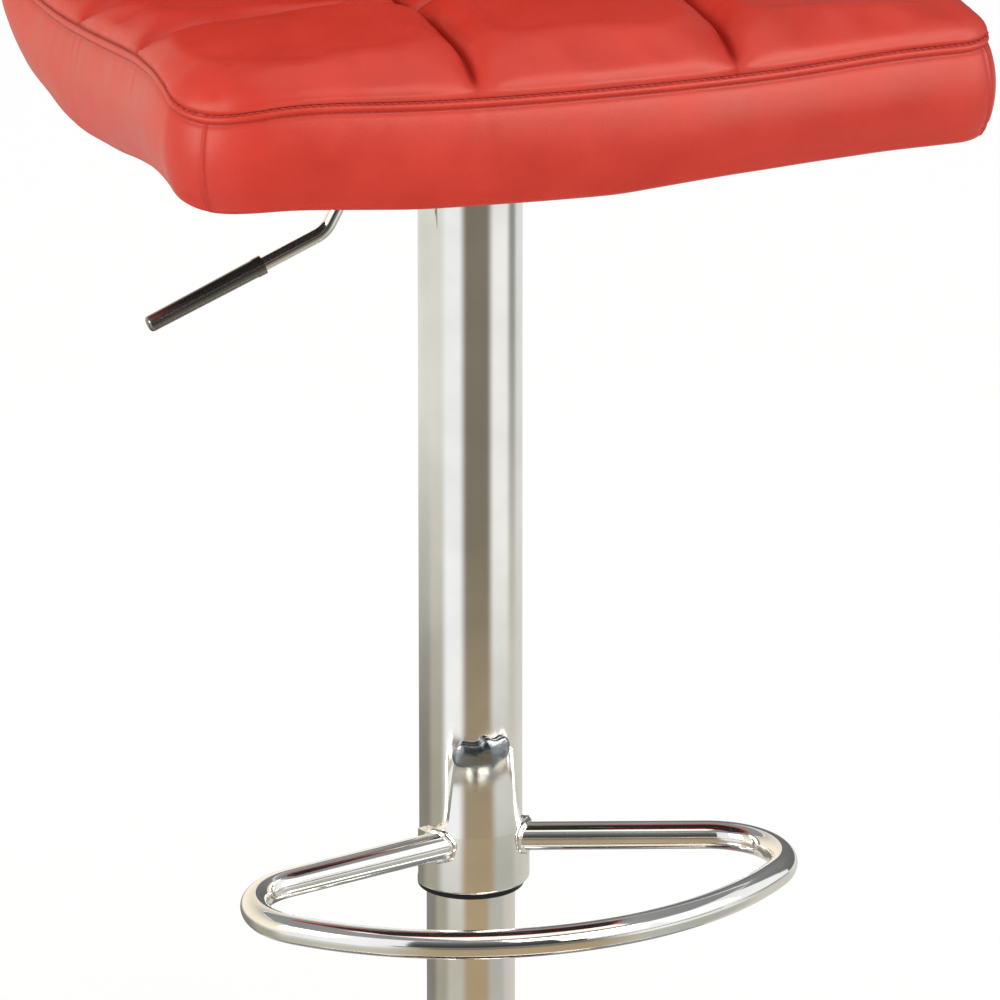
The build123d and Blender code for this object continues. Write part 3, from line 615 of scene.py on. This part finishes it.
pull = pull * np.exp(-crossing / pull_reach) * np.clip(crossing / pull_start, 0, 1)
ripple = ripple_height * waves(flat_across, flat_along, count=14, shortest=26, longest=90, seed=3)
gather = gather_height * waves(flat_across, flat_along, count=10, shortest=7, longest=16, seed=8)
gather = gather * np.exp(-edge / gather_reach)
quilt_normals = surface_normals(quilt_base)
quilt = quilt_base + quilt_normals * (plump + pull + ripple + gather - crease_depth)[..., None]

# Swelling of the top by cloth simulation
sewn_beside_crease = 3.5
sewn_beside_edge = 6
cloth_frames = 20
cloth_bending = 2
cloth_quality = 6


def inflated(points, sewn_down, pressure, growth, most):
    """Grid of points after a short cloth simulation; sewn points stay, others move by a capped way."""
    faces = [face[::-1] for face in grid_faces(*points.shape[:2])]
    trial_mesh = bpy.data.meshes.new("trial")
    trial_mesh.from_pydata((points.reshape(-1, 3) * MM).tolist(), [], faces)
    trial = bpy.data.objects.new("trial", trial_mesh)
    scene.collection.objects.link(trial)
    group = trial.vertex_groups.new(name="sewn")
    group.add(np.flatnonzero(sewn_down.ravel()).tolist(), 1.0, "REPLACE")
    run = trial.modifiers.new("cloth", "CLOTH")
    run.settings.vertex_group_mass = "sewn"
    run.settings.use_pressure = True
    run.settings.uniform_pressure_force = pressure
    run.settings.shrink_min = -growth
    run.settings.bending_stiffness = cloth_bending
    run.settings.quality = cloth_quality
    run.settings.effector_weights.gravity = 0
    run.collision_settings.use_collision = False
    for number in range(1, cloth_frames + 1):
        scene.frame_set(number)
    shape = trial.evaluated_get(bpy.context.evaluated_depsgraph_get()).to_mesh()
    places = np.empty(3 * len(shape.vertices))
    shape.vertices.foreach_get("co", places)
    moved = places.reshape(points.shape) / MM - points
    bpy.data.objects.remove(trial)
    bpy.data.meshes.remove(trial_mesh)
    scene.frame_set(1)
    way = np.maximum(np.linalg.norm(moved, axis=-1, keepdims=True), 1e-9)
    return points + moved * most * np.tanh(way / most) / way


sewn = (nearest < sewn_beside_crease) | (edge < sewn_beside_edge)
quilt = inflated(quilt, sewn, pressure=4, growth=0.006, most=3)

# Outline of the pad, once round, as places in the quilted grid
outline = grid_outline(*flat_across.shape)
outline_rows = np.array([row for row, _ in outline])
outline_columns = np.array([column for _, column in outline])
rim_across = plan_across[outline_rows, outline_columns]
rim_along = plan_along[outline_rows, outline_columns]
rim = np.stack([rim_across, rim_along], -1)
heading = np.roll(rim, -1, axis=0) - np.roll(rim, 1, axis=0)
heading /= np.linalg.norm(heading, axis=1, keepdims=True)
outward = np.stack([heading[:, 1], -heading[:, 0]], -1)
rim_length = lengths_along(rim)

# Side band below the seam: (out from the outline, height over the outer face) in millimetres
band_bulge = 4.0
bulge_power = 0.8
band_top = 49
band_out = 0.5
bulge_start = 46.5
bulge_steps = 14
hem_gap = 2
hem_round = 6.5
round_steps = 7
tuck_width = 13.5
band_profile = [(-1.5, 55.2), (0.3, 54.5), (0.9, 53.2), (0.9, 52.2), (0.4, 51.2), (-0.9, 50.3), (0.5, 49.2)]
stitch_step = len(band_profile) - 2
first_band_step = len(band_profile) - 1
for height in np.linspace(bulge_start, hem_round + hem_gap, bulge_steps):
    share = (band_top - height) / (band_top - hem_round)
    band_profile.append((band_out + band_bulge * math.sin(math.pi * share) ** bulge_power, height))
for angle in np.linspace(0, math.pi / 2, round_steps):
    band_profile.append((-hem_round * (1 - math.cos(angle)), hem_round * (1 - math.sin(angle))))
band_profile += [(-11, 0), (-tuck_width, 1.0)]
front_reach = 60
front_share = np.clip(1 - rim_along / front_reach, 0, 1)
tuck_in = tuck_width + (shell_front_margin - shell_margin) * front_share

# Front hem as it hangs: lower left of the middle, a little higher towards the right corner
hang_knots = (
    (-225, -2.5), (-193, -3.6), (-149, -5.8), (-105, -7.6), (-61, -7.2), (5, -7.2), (27, -5.4),
    (49, -3.9), (71, -2.8), (115, -1.9), (159, -2.0), (203, -4.2), (225, -5.0),
)
hang_curve = smooth_curve(hang_knots, reach=16)
hang_height = 45
hang = np.interp(rim_across, *hang_curve) * front_share

# Unevenness of the band: slow waves towards the hem, short puckers under the seam
sag_size = 0.7
pucker_size = 0.35
pucker_height = 46
pucker_reach = 9
pucker_lean = 0.3
band_rows = []
for step, (out, height) in enumerate(band_profile):
    low_share = np.clip(1 - height / hang_height, 0, 1)
    sag = waves(rim_length, height, count=9, shortest=60, longest=170, seed=5)
    pucker = waves(rim_length, pucker_lean * height, count=9, shortest=8, longest=19, seed=6)
    wobble = sag_size * low_share * sag
    wobble += pucker_size * np.exp(-abs(height - pucker_height) / pucker_reach) * pucker
    reach = out + wobble
    tucked = step == len(band_profile) - 1
    if tucked:
        reach = -tuck_in
    spot = rim + outward * np.broadcast_to(reach, rim_across.shape)[:, None]
    row = pad_point(spot[:, 0], spot[:, 1], height / seat_thickness, not tucked)
    if not tucked:
        row[:, 2] += hang * low_share
    band_rows.append(row)
band = np.array(band_rows)

# Upright seams in the band at the front corners: (points to the side, push outward in millimetres)
seam_section = ((-2, -0.5), (-1, 0.3), (0, 0.5), (1, 0.3), (2, -0.5))
seam_side = 2
hem_steps = 5
seam_steps = list(range(first_band_step, len(band_profile) - hem_steps))
rim_count = len(outline)
corner_seams = [outline.index((0, 0)), outline.index((0, flat_across.shape[1] - 1))]
for place in corner_seams:
    for step in seam_steps:
        for side, push in seam_section:
            spot = (place + side) % rim_count
            band[step, spot, :2] += outward[spot] * push

grid_count = quilt.shape[0] * quilt.shape[1]
cover_points = np.concatenate([quilt.reshape(-1, 3), band.reshape(-1, 3)])
rim_index = outline_rows * quilt.shape[1] + outline_columns
cover_faces = grid_faces(*quilt.shape[:2])
for place in range(rim_count):
    after = (place + 1) % rim_count
    cover_faces.append((rim_index[place], rim_index[after], grid_count + after, grid_count + place))
cover_faces += grid_faces(len(band), rim_count, grid_count, True)
cover_faces = [tuple(int(place) for place in face[::-1]) for face in cover_faces]
upholstery = new_piece("upholstery", cover_points, cover_faces, red)

# Painted shade that darkens the creases, the two edges of the seam and the upright seams
shade_from = 9
shade_span = 9
shade_line = 2.0
shade_inset = 4
deep_share = 0.5
line_share = 0.5
seam_shade = 0.4
upright_shade = 0.22
# Painted shade in the creases: deeper creases and a thin line along each crease are darker
deep_shade = np.clip((crease_depth - shade_from) / shade_span, 0, 1) * deep_share
line_shade = line_share * np.exp(-((nearest / shade_line) ** 2)) * eased(edge, shade_inset)
crease_shade = deep_shade + line_shade
# Painted shade in the seam's groove at both stitch lines and beside the upright seams
band_shade = np.zeros(band.shape[:2])
band_shade[0] = seam_shade
band_shade[stitch_step] = seam_shade
for place in corner_seams:
    band_shade[seam_steps, (place - seam_side) % rim_count] = upright_shade
    band_shade[seam_steps, (place + seam_side) % rim_count] = upright_shade
# Painted shade, stored in the 'crease' attribute that darkens the leatherette
shade_values = upholstery.data.attributes.new("crease", "FLOAT", "POINT")
shade_values.data.foreach_set("value", np.concatenate([crease_shade.ravel(), band_shade.ravel()]).astype(np.float32))
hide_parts("seat_cushion", "back_cushion")

# Stitches
stitch_pitch = 4.2
stitch_length = 3.2
stitch_radius = 0.4
stitch_sections = 5
stitch_sides = 6
stitch_rise = 0.75
stitch_sink = 0.25
stitch_end = 0.45
stitch_fullness = 0.55


def stitch_row(name, path, normals):
    """Row of short thread stitches along a closed line, bedded in the surface."""
    loop = np.concatenate([path, path[:1]])
    along = lengths_along(loop)
    normal_loop = np.concatenate([normals, normals[:1]])
    count = int(along[-1] / stitch_pitch)
    sections = np.linspace(-0.5, 0.5, stitch_sections)
    sides = np.linspace(0, 2 * np.pi, stitch_sides, endpoint=False)
    points, faces = [], []

    def place_at(where):
        return placed_along(np.mod(where, along[-1]), along, loop)

    for index in range(count):
        middle = index * stitch_pitch
        out = placed_along(middle, along, normal_loop)
        out /= np.linalg.norm(out)
        ahead = place_at(middle + stitch_length / 2) - place_at(middle - stitch_length / 2)
        ahead /= np.linalg.norm(ahead)
        side = np.cross(ahead, out)
        first = len(points)
        for section in sections:
            bow = 1 - (2 * section) ** 2
            lift = stitch_rise * stitch_radius * bow - stitch_sink * stitch_radius
            centre = place_at(middle + section * stitch_length) + out * lift
            width = stitch_radius * (stitch_end + stitch_fullness * math.sqrt(bow))
            for angle in sides:
                points.append(centre + width * (math.cos(angle) * side + math.sin(angle) * out))
        faces += tube_faces(len(sections), len(sides), first)
    return new_piece(name, points, faces, thread)


rim_normals = pad_point(rim_across + outward[:, 0], rim_along + outward[:, 1], seam_depth)
rim_normals -= pad_point(rim_across, rim_along, seam_depth)
stitch_row("upper_stitches", 0.5 * (quilt[outline_rows, outline_columns] + band[1]), rim_normals)
stitch_row("lower_stitches", band[stitch_step], rim_normals)

# Rear panel and dust cover: thin sheets over the shell's outer face
sheet_thickness = 1.2
sheet_edge_reach = 22
sheet_ripple = 0.25
sheet_columns = 61
sheet_rows = 73
square_corner = 0.01
rear_puff = 3.0
dust_puff = 1.6
shell_half_width = half_width - shell_margin
shell_corner = 28
shell_points = 40
panel_end = back_length - shell_margin
bend_start = seat_heel - bend_run
cover_length = dust_cover_end + seat_front - shell_front_margin
shell_route = np.concatenate([
    seat_point(np.linspace(shell_front_margin - seat_front, bend_start, shell_points), 0),
    bend_arc[1:-1],
    back_point(np.linspace(bend_run, panel_end, shell_points), 0),
])
shell_lengths = lengths_along(shell_route)


def sheet_piece(name, start, end, top_radius, puff, material):
    """Sheet between two lengths along the shell, tacked at its edges and standing proud between them."""
    half = shell_half_width
    across_places = np.linspace(-half, half, sheet_columns)
    along_places = np.linspace(start, end, sheet_rows)
    across, along, _ = rounded_plan(
        across_places, along_places - start, half, end - start, square_corner, top_radius
    )
    along = along + start
    inset = np.minimum(half - np.abs(across), np.minimum(along - start, end - along))
    rise = puff * (1 - np.exp(-np.maximum(inset, 0) / sheet_edge_reach))
    rise = rise + sheet_ripple * waves(across, along, count=9, shortest=50, longest=140, seed=11)
    side_view = placed_along(along, shell_lengths, shell_route)
    spot = np.stack([across, *np.moveaxis(side_view, -1, 0)], -1)
    normals = surface_normals(spot)
    outer = spot - normals * rise[..., None]
    inner = outer + normals * sheet_thickness
    count = sheet_rows * sheet_columns
    faces = grid_faces(sheet_rows, sheet_columns)
    faces += [tuple(count + place for place in face[::-1]) for face in faces]
    border = [row * sheet_columns + column for row, column in grid_outline(sheet_rows, sheet_columns)]
    for here, after in zip(border, border[1:] + border[:1]):
        faces.append((here, count + here, count + after, after))
    points = np.concatenate([outer.reshape(-1, 3), inner.reshape(-1, 3)])
    return new_piece(name, points, faces, material)


rear = sheet_piece(
    "rear_cover", cover_length, shell_lengths[-1], shell_corner, rear_puff, red
)
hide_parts("rear_panel")
dust = sheet_piece("dust_cloth", 0, cover_length, square_corner, dust_puff, cloth)
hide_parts("dust_cover")

# Welds that hold the footrest
saddle_radius = 33.1
saddle_top_radius = 31.6
saddle_top = 263
footrest_height = 205
footrest_tube_radius = 8
arm_slope = math.radians(17)
arm_root = Vector((25.9, -20.5))
bead_sides = 20
lump_share = 0.22
lump_round = 7.0


def bead(name, path, radii, closed, material):
    """Lumpy weld bead along a path; each place has its own thickness out of the surface and along it."""
    path = np.asarray(path, float)
    ahead = np.roll(path, -1, 0) - np.roll(path, 1, 0) if closed else np.gradient(path, axis=0)
    ahead /= np.linalg.norm(ahead, axis=1, keepdims=True)
    away = path * np.array([1, 1, 0])
    away /= np.linalg.norm(away, axis=1, keepdims=True)
    side = np.cross(ahead, away)
    side /= np.linalg.norm(side, axis=1, keepdims=True)
    out = np.cross(side, ahead)
    angles = np.linspace(0, 2 * np.pi, bead_sides, endpoint=False)
    rows = []
    for place in range(len(path)):
        height, width = radii[place]
        uneven = waves(
            place + 0 * angles, lump_round * np.sin(angles), count=8, shortest=9, longest=22, seed=21
        )
        lump = 1 + lump_share * uneven
        ring = out[place] * (np.cos(angles) * height * lump)[:, None]
        ring = ring + side[place] * (np.sin(angles) * width * lump)[:, None]
        rows.append(path[place] + ring)
    points = np.array(rows).reshape(-1, 3)
    make_faces = ring_faces if closed else tube_faces
    return new_piece(name, points, make_faces(len(path), bead_sides), material)


# Bead on the saddle's tongue: from left to right round the tube, in degrees
tongue_from = -37
tongue_to = 27
tongue_count = 49
tongue_sink = 0.8
tongue_drop = 2.0
tongue_wander = 1.4
tongue_height = 2.8
tongue_width = 8.0
tongue_tip = 0.02
long_lump = 0.1
short_lump = 0.05
tongue_turns = np.radians(np.linspace(tongue_from, tongue_to, tongue_count))
tongue_path = np.stack([
    (saddle_top_radius - tongue_sink) * np.sin(tongue_turns),
    -(saddle_top_radius - tongue_sink) * np.cos(tongue_turns),
    np.full(tongue_count, saddle_top - tongue_drop) + tongue_wander * np.sin(4 * tongue_turns),
], -1)
tongue_share = np.sqrt(np.clip(1 - np.linspace(-1, 1, tongue_count) ** 4, tongue_tip, 1))
long_lumps = long_lump * np.sin(np.linspace(0.5, 13, tongue_count))
short_lumps = short_lump * np.sin(np.linspace(2, 22, tongue_count))
tongue_lumps = 1 + long_lumps + short_lumps
tongue_radii = np.stack(
    [tongue_height * tongue_share * tongue_lumps, tongue_width * tongue_share * tongue_lumps], -1
)
bead("tongue_weld", tongue_path, tongue_radii, False, weld_metal)

# Beads round the footrest's arms, where these meet the saddle
arm_weld_count = 48
arm_weld_radius = 1.9
arm_weld_swell = 0.3
arm_weld_swells = 7
arm_weld_spread = 1.3
upward = np.array([0, 0, 1])
for side_name, side in (("left", -1), ("right", 1)):
    along_arm = np.array([side * math.cos(arm_slope), -math.sin(arm_slope), 0])
    across_arm = np.array([math.sin(arm_slope), side * math.cos(arm_slope), 0])
    loop = []
    for angle in np.linspace(0, 2 * np.pi, arm_weld_count, endpoint=False):
        start = np.array([side * arm_root.x, arm_root.y, footrest_height])
        start = start + footrest_tube_radius * (math.cos(angle) * across_arm + math.sin(angle) * upward)
        past_axis = start[:2] @ along_arm[:2]
        reach = -past_axis
        reach += math.sqrt(max(past_axis**2 + saddle_radius**2 - start[:2] @ start[:2], 0))
        loop.append(start + along_arm * reach)
    swell_turns = np.linspace(0, 2 * arm_weld_swells * np.pi, arm_weld_count, endpoint=False)
    swells = arm_weld_radius + arm_weld_swell * np.sin(swell_turns)
    bead(f"{side_name}_arm_weld", loop, np.stack([swells, swells * arm_weld_spread], -1), True, chrome)

# Lip of the bush below the cover tube: (radius, height) round its section
bush_flange_bottom = 175
lip_drop = 1.6
lip_overlap = 0.2
lip_inner_radius = 26
lip_outer_radius = 30
lip_clearance = 0.05
lip_round = 0.5
lip_bevel = 0.3 * lip_round
lip_sides = 96
lip_section = [
    (lip_inner_radius, bush_flange_bottom + lip_overlap),
    (lip_outer_radius - lip_clearance, bush_flange_bottom + lip_overlap),
    (lip_outer_radius, bush_flange_bottom),
    (lip_outer_radius, bush_flange_bottom - lip_drop + lip_round),
    (lip_outer_radius - lip_bevel, bush_flange_bottom - lip_drop + lip_bevel),
    (lip_outer_radius - lip_round, bush_flange_bottom - lip_drop),
    (lip_inner_radius, bush_flange_bottom - lip_drop),
]
lip_points = []
for turn in np.linspace(0, 2 * np.pi, lip_sides, endpoint=False):
    for radius, height in lip_section:
        lip_points.append((radius * math.cos(turn), radius * math.sin(turn), height))
new_piece("bush_lip", lip_points, ring_faces(lip_sides, len(lip_section)), plastic)


# Studio, in metres
def stage_piece(name, points, faces, material):
    """Mesh that belongs to the studio."""
    mesh = bpy.data.meshes.new(name)
    mesh.from_pydata(points, [], faces)
    mesh.materials.append(material)
    piece = bpy.data.objects.new(name, mesh)
    scene.collection.objects.link(piece)
    return piece


def stage_plane(name, corners, material):
    return stage_piece(name, corners, [tuple(range(len(corners)))], material)


def larger(tree, first, second):
    """Larger of two node values."""
    node = tree.nodes.new("ShaderNodeMath")
    node.operation = "MAXIMUM"
    tree.links.new(first, node.inputs[0])
    tree.links.new(second, node.inputs[1])
    return node.outputs[0]


def mix_surface(tree, share, first, second, output):
    """Send a mix of two shaders to the named output node."""
    mix = tree.nodes.new("ShaderNodeMixShader")
    tree.links.new(share, mix.inputs[0])
    tree.links.new(first.outputs[0], mix.inputs[1])
    tree.links.new(second.outputs[0], mix.inputs[2])
    tree.links.new(mix.outputs[0], tree.nodes[output].inputs["Surface"])


# Floor: white to the camera and in reflections, apart from the object's shadow
half_floor = 30.0
floor_tone = 0.86
floor_white = 1.05
floor_white_share = 0.86
floor_material, floor_tree, floor_shader = new_material(
    "floor", (floor_tone, floor_tone, floor_tone), roughness=0.9, specular=0.1
)
white_seen = floor_tree.nodes.new("ShaderNodeEmission")
white_seen.inputs["Color"].default_value = (1, 1, 1, 1)
white_seen.inputs["Strength"].default_value = floor_white
floor_path = floor_tree.nodes.new("ShaderNodeLightPath")
floor_seen = larger(floor_tree, floor_path.outputs["Is Camera Ray"], floor_path.outputs["Is Glossy Ray"])
seen_share = floor_tree.nodes.new("ShaderNodeMath")
seen_share.operation = "MULTIPLY"
seen_share.inputs[1].default_value = floor_white_share
floor_tree.links.new(floor_seen, seen_share.inputs[0])
mix_surface(floor_tree, seen_share.outputs[0], floor_shader, white_seen, "Material Output")
floor_corners = [(x * half_floor, y * half_floor, 0) for x, y in ((-1, -1), (1, -1), (1, 1), (-1, 1))]
stage_plane("floor", floor_corners, floor_material)

# World: white to the camera, in reflections and through glass, and a plain light on the object
world_light = 0.62
world = bpy.data.worlds.new("studio")
scene.world = world
world.use_nodes = True
world_tree = world.node_tree
lit = world_tree.nodes["Background"]
lit.inputs["Color"].default_value = (1, 1, 1, 1)
lit.inputs["Strength"].default_value = world_light
seen = world_tree.nodes.new("ShaderNodeBackground")
seen.inputs["Color"].default_value = (1, 1, 1, 1)
world_path = world_tree.nodes.new("ShaderNodeLightPath")
world_seen = larger(world_tree, world_path.outputs["Is Camera Ray"], world_path.outputs["Is Glossy Ray"])
world_seen = larger(world_tree, world_seen, world_path.outputs["Is Transmission Ray"])
mix_surface(world_tree, world_seen, lit, seen, "World Output")

# Cards that only reflections see, on the floor, round the stool and over it
card_reach = 4.0
inner_reach = 0.21
wall_height = 3.6
glow_height = 0.0004
far_height = 0.0008
far_inner = 2.0
ceiling_inner = 0.01
card_steps = 9
glow_rings = 40
to_camera = math.atan2(camera.location.y, camera.location.x)


def glow_material(name):
    """Emission material; gives the material, its node tree and the socket of its colour."""
    material = bpy.data.materials.new(name)
    material.use_nodes = True
    tree = material.node_tree
    tree.nodes.clear()
    shine = tree.nodes.new("ShaderNodeEmission")
    output = tree.nodes.new("ShaderNodeOutputMaterial")
    tree.links.new(shine.outputs[0], output.inputs["Surface"])
    return material, tree, shine.inputs["Color"]


def card_material(name, near_color, far_color, near, far):
    """Glow that changes with the distance from the stool's foot."""
    material, tree, color = glow_material(name)
    place = tree.nodes.new("ShaderNodeTexCoord")
    away = tree.nodes.new("ShaderNodeVectorMath")
    away.operation = "LENGTH"
    tree.links.new(place.outputs["Object"], away.inputs[0])
    tree.links.new(ramp(tree, away.outputs["Value"], near_color, far_color, near, far), color)
    return material


def only_reflected(card):
    card.visible_camera = False
    card.visible_diffuse = False
    card.visible_shadow = False
    card.visible_transmission = False


def card_angles(start, end):
    """Angles of a card's edge, from degrees to the right of the camera."""
    return [to_camera + math.radians(turn) for turn in np.linspace(start, end, card_steps)]


def reflection_card(name, start, end, near_color, far_color, inner, height, span):
    """Level card between two angles, from an inner distance outward; the span is where its colour changes."""
    angles = card_angles(start, end)
    corners = [(inner * math.cos(a), inner * math.sin(a), height) for a in angles]
    corners += [(card_reach * math.cos(a), card_reach * math.sin(a), height) for a in reversed(angles)]
    only_reflected(stage_plane(name, corners, card_material(name, near_color, far_color, *span)))


def reflection_floor(name, stripes, feather):
    """Ring on the floor whose glow changes softly from stripe to stripe and with the distance from the foot.

    A stripe has its first and last angle, its near and far colours and the two distances they are reached at.
    """
    turns = np.arange(-180, 180)
    radii = np.geomspace(inner_reach, card_reach, glow_rings)
    glow = np.empty((len(radii), len(turns), 3))
    for start, end, near_color, far_color, near, far in stripes:
        share = np.clip((radii - near) / (far - near), 0, 1)[:, None, None]
        within = (turns >= start) & (turns < end)
        glow[:, within] = np.array(near_color) * (1 - share) + np.array(far_color) * share
    wrapped = np.concatenate([glow[:, -feather:], glow, glow[:, :feather]], axis=1)
    kernel = soft_kernel(feather)
    soft = sum(weight * wrapped[:, place : place + len(turns)] for place, weight in enumerate(kernel))
    angles = to_camera + np.radians(turns)
    points = np.empty((len(radii), len(turns), 3))
    points[..., 0] = radii[:, None] * np.cos(angles)
    points[..., 1] = radii[:, None] * np.sin(angles)
    points[..., 2] = glow_height
    material, tree, color = glow_material(name)
    tone = tree.nodes.new("ShaderNodeAttribute")
    tone.attribute_name = "glow"
    tree.links.new(tone.outputs["Color"], color)
    faces = grid_faces(len(radii), len(turns), 0, True)
    card = stage_piece(name, points.reshape(-1, 3).tolist(), faces, material)
    tones = card.data.attributes.new("glow", "FLOAT_COLOR", "POINT")
    tones.data.foreach_set("color", np.append(soft, np.ones((*soft.shape[:2], 1)), axis=2).ravel())
    only_reflected(card)


def reflection_wall(name, start, end, low_color, high_color):
    """Wall of flat leaves, standing round the stool; its colour changes with height."""
    angles = card_angles(start, end)
    material = card_material(name, low_color, high_color, card_reach, math.hypot(card_reach, wall_height))
    for leaf, (first, second) in enumerate(zip(angles, angles[1:])):
        corners = [(card_reach * math.cos(a), card_reach * math.sin(a), 0) for a in (first, second)]
        corners += [(x, y, wall_height) for x, y, _ in reversed(corners)]
        only_reflected(stage_plane(f"{name}_{leaf}", corners, material))


floor_stripes = (
    (-180, -100, (0.26, 0.25, 0.21), (0.80, 0.79, 0.71), 0.75, 1.4),
    (-100, -60, (0.42, 0.40, 0.32), (0.82, 0.80, 0.73), 0.75, 1.4),
    (-60, -16, (0.58, 0.56, 0.48), (1.0, 1.0, 1.0), 0.38, 0.7),
    (-16, 46, (0.48, 0.37, 0.22), (0.23, 0.20, 0.15), 0.4, 1.2),
    (46, 93, (0.52, 0.51, 0.46), (1.0, 0.99, 0.95), 0.6, 1.1),
    (93, 118, (0.66, 0.63, 0.56), (0.30, 0.30, 0.29), 0.9, 1.8),
    (118, 180, (0.68, 0.65, 0.58), (0.80, 0.80, 0.78), 0.4, 1.5),
)
reflection_floor("floor_glow", floor_stripes, feather=12)
reflection_card(
    "far_front", -20, 85, (0.20, 0.20, 0.19), (0.14, 0.14, 0.14), far_inner, far_height, (2.0, 4.0)
)
reflection_card(
    "far_left", -180, -56, (0.85, 0.80, 0.68), (1.25, 1.12, 0.90), far_inner, far_height, (2.0, 3.0)
)
reflection_wall("wall_front", -16, 38, (0.05, 0.05, 0.05), (0.30, 0.30, 0.30))
reflection_wall("wall_left", -178, -56, (1.15, 1.02, 0.82), (0.60, 0.56, 0.48))
reflection_wall("wall_behind", 118, 180, (0.16, 0.16, 0.16), (0.26, 0.26, 0.26))
reflection_card(
    "ceiling", -180, 180, (0.26, 0.26, 0.26), (0.30, 0.30, 0.30), ceiling_inner, wall_height, (1.0, 4.0)
)

# Lamps
lamp_color = (1, 0.95, 0.82)


def soft_light(name, place, aim_height, width, height, power, gloss_only=False):
    """Area lamp aimed at a height on the stool's axis."""
    lamp = bpy.data.lights.new(name, "AREA")
    lamp.shape = "RECTANGLE"
    lamp.size = width
    lamp.size_y = height
    lamp.energy = power
    lamp.color = lamp_color
    light = bpy.data.objects.new(name, lamp)
    scene.collection.objects.link(light)
    light.location = place
    light.rotation_euler = (Vector((0, 0, aim_height)) - Vector(place)).to_track_quat("-Z", "Y").to_euler()
    light.visible_camera = False
    light.visible_diffuse = not gloss_only


soft_light("key", (-3.0, -1.0, 1.6), aim_height=0.65, width=1.6, height=1.6, power=42)
soft_light("fill", (1.4, -2.9, 1.5), aim_height=0.65, width=1.6, height=1.6, power=26)
soft_light("overhead", (0.2, -0.6, 3.0), aim_height=0.6, width=2.2, height=2.2, power=16)
soft_light("shine", (1.1, -2.7, 2.4), aim_height=0.7, width=2.6, height=1.0, power=42, gloss_only=True)
soft_light("shine_right", (2.9, -1.5, 1.5), aim_height=0.7, width=1.6, height=1.6, power=34, gloss_only=True)
